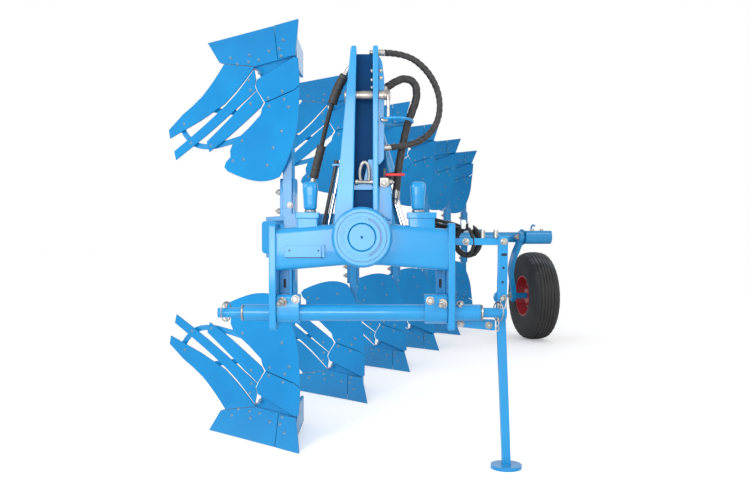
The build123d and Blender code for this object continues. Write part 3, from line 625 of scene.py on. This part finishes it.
# Oil hoses. Rubber hoses in black spiral-wrapped sleeves run in free loops from the tower's top and
# sides, back to it or down to the crossbeam. Each is a fixed length, stiff between its ferrules.
LOOP = [(82, 46, 966), (160, 56, 966), (240, 68, 912), (290, 76, 825), (292, 74, 728), (247, 60, 655),
        (172, 40, 618), (102, 28, 612)]
BUNDLE = [(88, 46, 836), (124, 54, 862), (162, 62, 876), (200, 70, 858), (206, 74, 806), (186, 76, 750),
          (168, 74, 700), (154, 70, 640), (142, 66, 580), (133, 62, 520), (127, 58, 452)]
DROP = [(-62, 34, 884), (-84, 34, 850), (-104, 34, 800), (-122, 34, 742), (-138, 36, 680),
        (-152, 38, 618), (-168, 40, 556), (-184, 42, 490)]
sleeve_black = finish("hose sleeve", (0.020, 0.019, 0.020, 1), (0.034, 0.032, 0.033, 1), 0.42,
                      (0.09, 0.085, 0.085, 1), Patch_Scale=60.0, Grain_Scale=900.0, Grain=0.35, Dust=0.3)
hose_black = finish("hose rubber", (0.012, 0.012, 0.013, 1), (0.022, 0.021, 0.022, 1), 0.5,
                    Patch_Scale=50.0, Grain_Scale=700.0, Grain=0.3, Dust=0.2)


def hose_line(points):
    """Points along a hose's own smooth curve: a spline with the route as its control points."""
    curve = bpy.data.curves.new("route", "CURVE")
    curve.dimensions = "3D"
    curve.resolution_u = 24
    spline = curve.splines.new("NURBS")
    spline.points.add(len(points) - 1)
    places = np.column_stack([np.array(points) / 1000, np.ones(len(points))])
    spline.points.foreach_set("co", places.ravel())
    spline.order_u = 3
    spline.use_endpoint_u = True
    holder = bpy.data.objects.new("route", curve)
    bpy.context.scene.collection.objects.link(holder)
    bpy.context.view_layer.update()
    line = bpy.data.meshes.new_from_object(holder)
    co = np.empty(len(line.vertices) * 3)
    line.vertices.foreach_get("co", co)
    bpy.data.objects.remove(holder)
    bpy.data.meshes.remove(line)
    return co.reshape(-1, 3)


def resampled(path, step):
    """Points at even distances along a line, by interpolating each coordinate over its length."""
    run = np.concatenate([[0], np.cumsum(np.linalg.norm(np.diff(path, axis=0), axis=1))])
    even = np.linspace(0, run[-1], max(4, int(run[-1] / step)))
    return np.stack([np.interp(even, run, path[:, k]) for k in range(3)], 1), run[-1]


def wrapped_hose(name, points, diameter, pitch, depth, material):
    """A sleeve of spiral-wound strip on a hose. The radius at length s and angle a falls by a depth
    near each turn's seam, where (s / pitch - a / 2 pi) passes a whole number, and it has flats, as
    |cos (2a + 14s)| does."""
    path, length = resampled(hose_line(points), 0.003)
    ahead = np.gradient(path, axis=0)
    ahead /= np.linalg.norm(ahead, axis=1, keepdims=True)
    side = np.cross(np.array([0, 1.0, 0]), ahead)
    side /= np.linalg.norm(side, axis=1, keepdims=True)
    up = np.cross(ahead, side)
    sides = 26
    s = np.linspace(0, length, len(path))[:, None]
    angle = 2 * math.pi * np.arange(sides)[None] / sides
    turn = (s / pitch - angle / (2 * math.pi)) % 1.0
    seam = np.exp(-((np.minimum(turn, 1 - turn)) / 0.10) ** 2)
    lap = 0.35 * depth * turn
    radius = diameter / 2 - depth - depth * seam + lap + depth * 0.6 * np.abs(np.cos(angle * 2 + s * 14))
    radius = np.minimum(radius, diameter / 2)
    ring = np.cos(angle)[..., None] * side[:, None] + np.sin(angle)[..., None] * up[:, None]
    shapes = [grid(path[:, None] + radius[..., None] * ring, close_v=True, cap=True)]
    return piece(name, shapes, material, smooth=50), path, length


def ferrules(path, radius, reach=0.040):
    """A crimped steel ferrule at each end of a hose, turned along the hose's own direction there."""
    crimp_r = radius * np.where(np.arange(15) % 2, 1.0, 0.93)
    profile = [(-0.012, 0), (-0.012, radius * 0.8), *zip(np.linspace(0, reach, 15), crimp_r),
               (reach + 0.004, radius * 0.7), (reach + 0.016, radius * 0.62), (reach + 0.016, 0)]
    return turned(profile, [path[0], path[-1]], [path[0] - path[3], path[-1] - path[-4]], 24)


LOOP_D, BUNDLE_D, DROP_D = 0.026, 0.031, 0.018
loop_hose, loop_line, loop_length = wrapped_hose("hose_loop", LOOP, LOOP_D, 0.021, 0.0022, sleeve_black)
bundle_hose, bundle_line, bundle_length = wrapped_hose("hose_bundle", BUNDLE, BUNDLE_D, 0.034, 0.0016,
                                                       sleeve_black)
drop_hose, drop_line, drop_length = wrapped_hose("hose_drop", DROP, DROP_D, 0.012, 0.0006, hose_black)
piece("hose_ferrules", ferrules(loop_line, 0.0125) + ferrules(bundle_line, 0.0150, 0.03)
      + ferrules(drop_line, 0.0105, 0.03), zinc, smooth=25)


def sleeve_part(points, start, stop, radius):
    """A stretch of outer sleeve over a hose, between two shares of its length."""
    first = int(start * len(points))
    part = points[first:max(int(stop * len(points)), first + 4)]
    wave = 1 + 0.035 * np.sin(np.arange(len(part)) * 0.9)
    return tube(part, radius * wave, 20)


sleeves = piece("drop_sleeves", [sleeve_part(drop_line, 0.02, 0.30, 0.0175),
                                 sleeve_part(drop_line, 0.68, 0.98, 0.0165)], sleeve_black, smooth=50)

# Hoses clipped behind the stand's arm. The spare length of the tractor hoses is wound in a coil,
# held by two pale clamps, and dark hoses fan out of it over the end of the crossbeam.
ARM_Z, ARM_HALF = 0.262, 0.013
COIL_R, STRAND_R = 0.0068, 0.0066
coil_turn = np.radians(np.linspace(-60, 1000, 150))
coil_path = np.stack([0.395 + (0.044 + 0.006 * np.sin(coil_turn * 0.31)) * np.cos(coil_turn),
                      0.036 + 0.050 * np.linspace(0, 1, 150),
                      0.263 + (0.053 + 0.006 * np.cos(coil_turn * 0.23)) * np.sin(coil_turn)], 1)
strands = [smooth_path(np.array(points) / 1000, 8) for points in (
    [(214, 30, 345), (250, 26, 338), (300, 34, 322), (345, 40, 316), (372, 48, 312)],
    [(214, 44, 336), (255, 46, 322), (305, 52, 310), (350, 58, 306), (380, 64, 300)],
    [(222, 60, 352), (262, 64, 347), (308, 60, 336), (350, 66, 326), (386, 72, 308)],
    [(395, 30, 312), (402, 14, 296), (412, 12, 262), (406, 14, 228), (392, 30, 214)])]
loose_hoses = [("hose_coil", coil_path, COIL_R)]
loose_hoses += [(f"hose_strand_{number}", path, STRAND_R) for number, path in enumerate(strands, 1)]
for name, path, radius in loose_hoses:
    hose = piece(name, [tube(path, radius, 12)], hose_black, smooth=60)
pale = finish("pale seal", (0.75, 0.78, 0.80, 1), (0.6, 0.62, 0.65, 1), 0.35)
black_steel = finish("black fitting", (0.018, 0.018, 0.020, 1), (0.03, 0.03, 0.032, 1), 0.38,
                     (0.2, 0.2, 0.2, 1))
clamp = oblong(-0.008, 0.008, -0.017, 0.017, 0.004)
piece("coil_clamps", [prism(clamp, "Y", -0.032, 0.028, origin=place)
                      for place in ((0.377, 0.060, 0.326), (0.403, 0.056, 0.322))], pale, bevel=0.002)
union = [(-0.010, 0), (-0.010, 0.009), (0.016, 0.009), (0.018, 0.0075), (0.034, 0.0075), (0.036, 0)]
piece("coil_unions", turned(union, [path[0] for path in strands[:3]],
                            [path[0] - path[1] for path in strands[:3]], 18), black_steel, smooth=30)

# Parking stand. A folded bracket stands beside the right end plate on two arms: a flat bar above
# and a wider plate below. The leg turns on a pin through the bracket's foot, locked by a clip.
POST_TOP, POST_FOOT = 0.284, -0.026
PLATE_Y, POST_BACK = 0.006, 0.022
arm_top = oblong(END_OUT, 0.512, ARM_Z - ARM_HALF, ARM_Z + ARM_HALF, 0.003)
arm_low = rounded([(END_OUT, -0.026), (0.494, -0.030), (0.494, -0.070), (END_OUT, -0.054)], 0.003)
post = rounded([(0.498, POST_FOOT), (0.533, POST_FOOT), (0.539, POST_TOP), (0.503, POST_TOP)], 0.005)
post_slot = oblong(0.513, 0.534, 0.2095, 0.2185, 0.0044)
post_hole = [(0, 0), (0, 0.0045), (0.0008, 0.0045), (0.0008, 0)]
piece("stand_bracket_plates",
      [prism(arm_top, "Y", PLATE_Y, POST_BACK), prism(arm_low, "Y", POST_BACK, 0.056),
       prism(post, "Y", 0, POST_BACK)], bevel=0.002, replaced=["stand_bracket"])
# The post's slot and two holes are dark sheets on its front: painted shade of the openings.
piece("stand_slots_shade_sheets", [prism(post_slot, "Y", -0.0006, 0.001)]
      + turned(post_hole, [(0.518, 0.0002, 0.112), (0.521, 0.0002, 0.165)], TO_FRONT, 20), dark)
stand_bolt_places = [(0.523, 0.0, 0.262), (0.383, PLATE_Y, 0.262), (0.366, POST_BACK, -0.044),
                     (0.470, POST_BACK, -0.049)]
piece("stand_bolts", bolts(stand_bolt_places, TO_FRONT, 0.017, 0.010, 0.004), zinc)
spring_clip = loop_path((0.519, -0.008, 0.036), 0.0105, 0.028, (1, 0.2, 0), (0.08, 0, 1), -75, 255)
r_clip = smooth_path(np.array([(506, -6, -30), (501, -9, -45), (503, -9, -60), (497, -9, -68),
                               (494, -7, -58), (499, -5, -46)]) / 1000)
leg_pin = [(-0.014, 0), (-0.014, 0.0075), (-0.010, 0.0090), (0.072, 0.0090), (0.074, 0)]
piece("stand_pin", turned(leg_pin, (0.516, 0, 0.052), TO_REAR, 24)
      + [tube(spring_clip, 0.0028, 10), tube(r_clip, 0.0020, 8)], zinc, smooth=40)
spacer = [(0, 0), (0, 0.0088), (0.030, 0.0088), (0.030, 0)]
piece("arm_spacers", turned(spacer, [(0.446, 0.014, 0.2745), (0.494, 0.010, 0.2755)], UPRIGHT, 20), zinc,
      smooth=30)

# Turnover cylinder. Its barrel hangs from the tower's top, and its chromed rod ends on the crank
# pin of the head. The barrel has a black gland nut where the rod comes out.
CYLINDER_Y = 0.176
hanger = np.array([0.0, CYLINDER_Y, 0.828])
crank_low, crank_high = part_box("crank_pin")
crank = np.array([(crank_low.x + crank_high.x) / 2, CYLINDER_Y, (crank_low.z + crank_high.z) / 2])
along = crank - hanger
along /= np.linalg.norm(along)
barrel_run = (hanger[2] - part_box("turn_cylinder")[0].z) / -along[2]
gland = [(-0.030, 0.021), (-0.030, 0.0400), (-0.004, 0.0400), (-0.004, 0.034), (-0.001, 0.030),
         (-0.001, 0.021)]
piece("gland_nut", turned(gland, hanger + along * (barrel_run + 0.001), along, 40), black_steel,
      "cylinder_barrel", smooth=30)

# Main beam and legs. The beam is square tube. Each leg is a flat bar between a pair of bodies,
# held to the beam by a folded clamp and two cheek plates with bolts.
ROWS = 6
STEP = np.array([0.265, 0.965, 0.0])
ROW_STEPS = np.arange(ROWS)[:, None] * STEP
GROUND = -0.588
TIP_X = -0.254
LEG_X, LEG_HALF = TIP_X - 0.088, 0.020
CHEEK_T, CHEEK_Y = 0.014, 0.640
CHEEK_OUT = LEG_X - LEG_HALF - CHEEK_T
cheek = rounded(np.array([(610, 188), (615, 16), (725, 16), (730, 188), (730, 368), (725, 540), (615, 540),
                          (610, 368)]) / 1000, 0.012)


def each_row(shapes):
    """The same shapes again at each body pair, one step further back and to the right."""
    return [(points + step, quads, caps) for step in ROW_STEPS for points, quads, caps in shapes]


def both_ways(shapes):
    """The shapes and their mirror images in the level of the turnover axis."""
    flip, lift = np.array([1, 1, -1.0]), np.array([0, 0, 2 * HUB_Z])
    return shapes + [(points * flip + lift, quads, caps) for points, quads, caps in shapes]


def on_frame(name, shapes, material=blue, **finishing):
    """A piece that rides on the turning frame, with the same shapes at each of its rows."""
    return piece(name, each_row(shapes), material, "turning_frame", **finishing)


on_frame("leg_cheeks", [prism(cheek, "X", LEG_X + LEG_HALF, LEG_X + LEG_HALF + CHEEK_T),
                        prism(cheek, "X", CHEEK_OUT, LEG_X - LEG_HALF)], bevel=0.0025)
side_bolts = bolts([(CHEEK_OUT, CHEEK_Y, z) for z in (0.480, 0.395, 0.330, 0.110, 0.060)], TO_LEFT,
                   0.022, 0.013, 0.008)
front_bolts = bolts([(LEG_X - 0.012, 0.600, 0.130), (LEG_X + 0.012, 0.600, 0.420)], TO_FRONT, 0.018, 0.010)
on_frame("leg_bolts", side_bolts + front_bolts, zinc)

# Plough bodies. Each has a slatted mouldboard: three curved strips with open gaps, a full lower
# wing, a shin, a share and a point, all bolted with low round heads to a frog behind them.
INNER = np.array([160.0, 555.0, 455.0, 450.0]) / 1000
OUTER = np.array([915.0, 1230.0, 1015.0, 1050.0]) / 1000
SKIN_T = 0.014


def board(u, h):
    """The working surface, ruled between two cubic curves: y = (1-s) B_in(t) + s B_out(t), with
    s = (u+0.04)/0.84 across, t = (h+0.02)/0.67 up, and B the cubic of its four rearward places."""
    s, t = (u + 0.04) / 0.84, (h + 0.02) / 0.67
    share = np.stack([(1 - t) ** 3, 3 * t * (1 - t) ** 2, 3 * t ** 2 * (1 - t), t ** 3], -1)
    return np.stack([TIP_X - u, (1 - s) * (share @ INNER) + s * (share @ OUTER), GROUND + h], -1)


def board_facing(u, h):
    """The surface's normal on its front, from the cross product of its two slopes."""
    small = 0.001
    way = np.cross(board(u + small, h) - board(u, h), board(u, h + small) - board(u, h))
    way /= np.linalg.norm(way, axis=-1, keepdims=True)
    return way * -np.sign(way[..., 1:2])


HEADS = {
    "slat": [(630, 314), (586, 411), (475, 433), (262, 166), (258, 206), (262, 262)],
    "wing": [(307, 425), (297, 511), (353, 514), (75, 300), (110, 400), (150, 470), (178, 545)],
    "share": [(340, 69), (312, 97), (253, 98), (245, 74), (203, 98), (149, 76), (101, 76), (78, 51),
              (95, 101), (208, 145)],
    "shin": [(172, 250), (103, 231), (95, 266), (169, 285)],
}
spots = np.array([spot for group in HEADS.values() for spot in group]).T / 1000
dome = [(-0.001, 0), (-0.001, 0.0092), (0.0006, 0.0086), (0.0022, 0.0058), (0.0028, 0)]
board_blue = finish("body paint", (0.003, 0.262, 0.60, 1), (0.002, 0.215, 0.52, 1), 0.26, PAINT_EDGE,
                    coat=0.06, specular=0.2)
bolt_grey = finish("worn bolt head", (0.16, 0.30, 0.42, 1), (0.09, 0.22, 0.36, 1), 0.34,
                   (0.45, 0.52, 0.58, 1), metallic=0.4, Dust=0.0)
on_frame("body_bolts", both_ways(turned(dome, board(*spots), board_facing(*spots), 9)), bolt_grey,
         smooth=50)


def board_slab(corners, thick, steps=9):
    """A plate on the working surface: its four corners are blended bilinearly in (u, h), then the
    same grid is put a thickness behind, and both are joined round the rim."""
    a, b = np.meshgrid(np.linspace(0, 1, steps), np.linspace(0, 1, steps), indexing="ij")
    c = np.array(corners, float) / 1000
    flat = ((1 - a) * (1 - b))[..., None] * c[0] + (a * (1 - b))[..., None] * c[1] \
        + (a * b)[..., None] * c[2] + ((1 - a) * b)[..., None] * c[3]
    front = board(flat[..., 0], flat[..., 1])
    rear = front + [0, thick, 0]
    rim = [np.concatenate([v[0], v[1:, -1], v[-1, -2::-1], v[-2:0:-1, 0]]) for v in (front, rear)]
    return [grid(front), grid(rear[::-1]), grid(np.stack(rim), close_v=True)]


on_frame("share_tips", both_ways(board_slab([(112, 1), (3, 0), (33, 107), (112, 107)], 0.022)), board_blue,
         bevel=0.001, smooth=25, replaced=["share_points_lower", "share_points_upper"])

# Slat stays and landsides. Two flat bars are bolted behind each body's slats and follow their curve,
# and a plain plate behind the share runs along the furrow wall. All are painted steel.
STAY_T = 0.010


def strap(places, width):
    """A flat bar behind the surface, along a line through places (u, h): a rectangle whose flat side
    faces along Y and whose width lies square to the line in the front view."""
    u, h = np.array(places).T / 1000
    path = smooth_path(board(u, h) + [0, SKIN_T + 0.0065, 0])
    ahead = np.gradient(path, axis=0)
    ahead[:, 1] = 0
    ahead /= np.linalg.norm(ahead, axis=1, keepdims=True)
    across = np.stack([-ahead[:, 2], np.zeros(len(path)), ahead[:, 0]], 1)
    corners = np.array([(-1, -1), (1, -1), (1, 1), (-1, 1)])
    return grid(path[:, None] + corners[None, :, :1] * across[:, None] * width / 2
                + corners[None, :, 1:] * np.array([0, STAY_T / 2, 0]), close_v=True, cap=True)


stays = [strap([(652, 318), (618, 372), (560, 420), (475, 436), (380, 424), (300, 408)], 0.026),
         strap([(560, 232), (470, 262), (380, 282), (300, 300)], 0.024)]
on_frame("slat_stays", both_ways(stays), bevel=0.0015)
landside = rounded([(0.395, GROUND + 0.012), (0.760, GROUND + 0.010), (0.760, GROUND + 0.130),
                    (0.470, GROUND + 0.140)], 0.010)
on_frame("landsides", both_ways([prism(landside, "X", -0.298, -0.284)]), bevel=0.002)

# Depth wheel. It runs on a stub axle at the foot of a cranked arm, which swings over on a pivot in
# a housing at the rear of the frame. The rim is pressed, red, and bolted to a hub; the tyre is black.
AXLE = np.array([math.cos(math.radians(10)), math.sin(math.radians(10)), 0.0])
PIVOT = np.array([1.445831, 3.54471, HUB_Z])
WHEEL = np.array([1.392, 3.85, -0.218])
UP = np.array([0, 0, 1.0])
FORWARD = np.cross(UP, AXLE)
down_arm = WHEEL - PIVOT
ARM_LEN = float(np.linalg.norm(down_arm))
down_arm /= ARM_LEN
beside = np.cross(AXLE, down_arm)
housing = rounded(np.array([(52, -45), (52, 100), (30, 150), (-30, 150), (-55, 90), (-55, -30), (-30, -55),
                            (30, -55)]) / 1000, 0.016)
piece("wheel_housing", [prism(housing, (UP, FORWARD, AXLE), -0.200, 0.020, PIVOT)], body="turning_frame",
      bevel=0.004, replaced=["wheel_bracket"])
tail = PIVOT + FORWARD * 0.110 - AXLE * 0.02
reach = (tail[0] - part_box("wheel_bracket")[0].x - 0.10) / AXLE[0]
tube_start = tail - AXLE * reach
carrier = [(0, 0), (0, 0.042), (reach, 0.042), (reach, 0)]
flange = [(0, 0), (0, 0.066), (0.014, 0.066), (0.014, 0)]
flange_at = [tube_start + AXLE * 0.012, PIVOT - AXLE * 0.205 + FORWARD * 0.05]
piece("wheel_carrier_tube", turned(carrier, tube_start, AXLE, 40), body="turning_frame", smooth=30)
piece("carrier_flanges", turned(flange, flange_at, AXLE, 40), body="turning_frame", bevel=0.002, smooth=30)
end_bolts = [PIVOT + FORWARD * 0.150 - AXLE * inwards for inwards in (0.150, 0.030, 0.090)]
top_bolts = [PIVOT - AXLE * inwards + UP * 0.052 for inwards in (0.13, 0.05)]
piece("housing_bolts", bolts(end_bolts, FORWARD, 0.024, 0.014, 0.010) + bolts(top_bolts, UP, 0.024, 0.014),
      zinc, "turning_frame")
j_pin = smooth_path([PIVOT + FORWARD * 0.060 - AXLE * 0.115 + UP * z + AXLE * x for x, z in
                     ((0, 0.03), (0, 0.062), (0.004, 0.088), (0.018, 0.098), (0.032, 0.090))])
piece("carrier_pin", [tube(j_pin, 0.0075, 12)], body="turning_frame", smooth=60)
arm_mm = 1000 * ARM_LEN
arm_outline = rounded(np.array([(-212, -42), (-212, 70), (-234, 190), (-234, 320), (-165, arm_mm - 50),
                                (-165, arm_mm + 42), (-199, arm_mm + 42), (-203, arm_mm - 36), (-268, 330),
                                (-268, 180), (-246, 60), (-246, -42)]) / 1000, 0.045)
pivot_shaft = [(-0.246, 0), (-0.246, 0.0245), (0.034, 0.0245), (0.036, 0)]
pivot_boss = [(-0.250, 0), (-0.250, 0.038), (-0.246, 0.042), (-0.209, 0.042), (-0.209, 0)]
axle_boss = [(-0.203, 0), (-0.203, 0.038), (-0.199, 0.042), (-0.160, 0.042), (-0.160, 0.024),
             (0.030, 0.024), (0.030, 0)]
piece("wheel_arm_forged", [prism(arm_outline, (AXLE, down_arm, beside), -0.033, 0.033, PIVOT)]
      + turned(pivot_shaft, PIVOT, AXLE, 32) + turned(pivot_boss, PIVOT, AXLE, 40)
      + turned(axle_boss, WHEEL, AXLE, 40), body="wheel_carrier", bevel=0.004, replaced=["wheel_arm"])
piece("arm_nuts", bolts([WHEEL - AXLE * 0.203, PIVOT - AXLE * 0.250], -AXLE, 0.036, 0.018, 0.010), zinc,
      "wheel_carrier")
rubber = finish("tyre rubber", (0.028, 0.027, 0.027, 1), (0.042, 0.040, 0.039, 1), 0.62,
                (0.075, 0.073, 0.071, 1), Patch_Scale=9.0, Grain_Scale=500.0, Grain=0.4, Dust=0.5)
red = finish("red rim paint", (0.46, 0.010, 0.016, 1), (0.32, 0.008, 0.012, 1), 0.34,
             (0.6, 0.12, 0.12, 1), coat=0.3)
rim = [(-92, 165), (-92, 175), (-97, 175), (-97, 161), (-60, 153), (-24, 139), (-14, 92), (-26, 80),
       (-60, 62), (-60, 25), (44, 25), (44, 60), (10, 62), (-6, 92), (-10, 139), (60, 153), (97, 161),
       (97, 175), (92, 175), (92, 165), (-92, 165)]
piece("wheel_rim_pressed", turned(np.array(rim) / 1000, WHEEL, AXLE, 64), red, "wheel", smooth=30,
      replaced=["wheel_rim"])
side_1, side_2, _ = basis(AXLE)
bolt_angle = (np.arange(6) * math.pi / 3)[:, None]
bolt_ring = WHEEL + 0.112 * (np.cos(bolt_angle) * side_1 + np.sin(bolt_angle) * side_2)
piece("wheel_bolts", bolts(bolt_ring - AXLE * 0.020, -AXLE, 0.019, 0.012), zinc, "wheel")
# The tyre's half section from bead to shoulder, then five grooves across a slightly crowned tread.
TYRE_R, TREAD_HALF, GROOVES = 0.370, 0.065, 5
wall = np.array([(-88, 165), (-98, 172), (-105, 182), (-107, 215), (-112, 240), (-113, 262), (-111, 290),
                 (-107, 310), (-104, 328), (-93, 344), (-83, 352), (-75, 358)]) / 1000
tread_x = np.linspace(-TREAD_HALF, TREAD_HALF, 28)
groove = 0.007 * (np.abs(((tread_x + TREAD_HALF) / (2 * TREAD_HALF) * GROOVES) % 1.0 - 0.5) > 0.38)
tread_r = TYRE_R - 0.008 * (tread_x / TREAD_HALF) ** 2 - groove
profile = np.concatenate([wall, np.stack([tread_x, tread_r], 1), (wall * [-1, 1])[::-1], [[0.0, 0.150]],
                          wall[:1]])
tyre_angle = np.linspace(0, 2 * math.pi, 120, endpoint=False)[:, None]
lug = 1 + 0.0050 * (np.sin(tyre_angle * 40) > 0.3)
shoulder = np.exp(-((np.abs(profile[:, 0]) - 0.092) / 0.018) ** 2) * (profile[:, 1] > 0.30)
tyre_r = np.minimum(profile[None, :, 1] * (1 + (lug - 1) * 2.4 * shoulder[None]), TYRE_R - 0.0005)
tyre_ring = np.cos(tyre_angle) * side_1 + np.sin(tyre_angle) * side_2
tyre_points = WHEEL + profile[None, :, :1] * AXLE + tyre_r[..., None] * tyre_ring[:, None]
piece("wheel_tyre_moulded", [grid(tyre_points, close_u=True)], rubber, "wheel", smooth=32,
      replaced=["wheel_tyre"])

# Finishes of the plain pieces. The bodies' worn faces, the frame, the cylinder and its pins keep
# their plain shapes and only take their coats here.
FINISH = {"turn_rod": chrome, "crank_pin": zinc}
for label in ("mouldboards", "shares", "shins", "slats", "frogs"):
    FINISH[f"{label}_lower"] = FINISH[f"{label}_upper"] = board_blue
for name, node in nodes.items():
    node.data.materials.clear()
    node.data.materials.append(FINISH.get(name, blue))

# Studio: a plain pale floor at the level of the share points, white behind, and soft lamps.
floor_mesh = bpy.data.meshes.new("floor")
floor_mesh.from_pydata([(-40, -40, GROUND), (40, -40, GROUND), (40, 40, GROUND), (-40, 40, GROUND)],
                       [], [(0, 1, 2, 3)])
floor = bpy.data.objects.new("floor", floor_mesh)
bpy.context.scene.collection.objects.link(floor)
floor_material = bpy.data.materials.new("floor")
floor_material.use_nodes = True
tree, link = floor_material.node_tree.nodes, floor_material.node_tree.links.new
floor_shader = tree["Principled BSDF"]
floor_shader.inputs["Base Color"].default_value = (0.92, 0.92, 0.92, 1)
floor_shader.inputs["Roughness"].default_value = 0.7
floor_shader.inputs["Emission Color"].default_value = (1, 1, 1, 1)
floor_rays = tree.new("ShaderNodeLightPath")
floor_glow = math_node(tree, link, "MULTIPLY", floor_rays.outputs["Is Camera Ray"], 0.30)
link(floor_glow, floor_shader.inputs["Emission Strength"])
floor_mesh.materials.append(floor_material)

world = bpy.data.worlds.new("studio")
bpy.context.scene.world = world
world.use_nodes = True
tree, link = world.node_tree.nodes, world.node_tree.links.new
fill_light = tree["Background"]
fill_light.inputs["Color"].default_value = (1, 1, 1, 1)
fill_light.inputs["Strength"].default_value = 0.72
seen_white = tree.new("ShaderNodeBackground")
seen_white.inputs["Color"].default_value = (1, 1, 1, 1)
seen_white.inputs["Strength"].default_value = 1.0
rays = tree.new("ShaderNodeLightPath")
seen = math_node(tree, link, "MAXIMUM", rays.outputs["Is Camera Ray"], rays.outputs["Is Glossy Ray"])
seen = math_node(tree, link, "MAXIMUM", seen, rays.outputs["Is Transmission Ray"])
choice = tree.new("ShaderNodeMixShader")
link(seen, choice.inputs["Fac"])
link(fill_light.outputs["Background"], choice.inputs[1])
link(seen_white.outputs["Background"], choice.inputs[2])
link(choice.outputs["Shader"], tree["World Output"].inputs["Surface"])


def lamp(name, place, aim, size, power):
    """A square soft box at a place, turned to a point."""
    light = bpy.data.lights.new(name, "AREA")
    light.size = size
    light.energy = power
    holder = bpy.data.objects.new(name, light)
    bpy.context.scene.collection.objects.link(holder)
    direction = Vector(aim) - Vector(place)
    turn = direction.to_track_quat("-Z", "Y").to_matrix().to_4x4()
    holder.matrix_world = Matrix.Translation(place) @ turn


lamp("key", (-3.6, -3.0, 2.6), (0, 0.2, 0.2), 2.0, 130)
lamp("front", (-0.55, -4.2, 0.75), (-0.1, 0.0, 0.27), 1.5, 62)
lamp("fill", (4.2, -2.2, 2.6), (0.5, 1.5, 0.2), 3.0, 90)

# Camera: at the height of the turnover shaft, straight in front of the headstock.
CAMERA_PLACE = (0.047, -2.95, 0.279)
CAMERA_PITCH = 0.93
camera_data = bpy.data.cameras.new("camera")
camera_data.sensor_width = 36.0
camera_data.lens = 38.4
camera = bpy.data.objects.new("camera", camera_data)
bpy.context.scene.collection.objects.link(camera)
camera.location = CAMERA_PLACE
camera.rotation_euler = (math.radians(90 - CAMERA_PITCH), 0, 0)
bpy.context.scene.camera = camera

bpy.context.scene.view_settings.view_transform = "Standard"
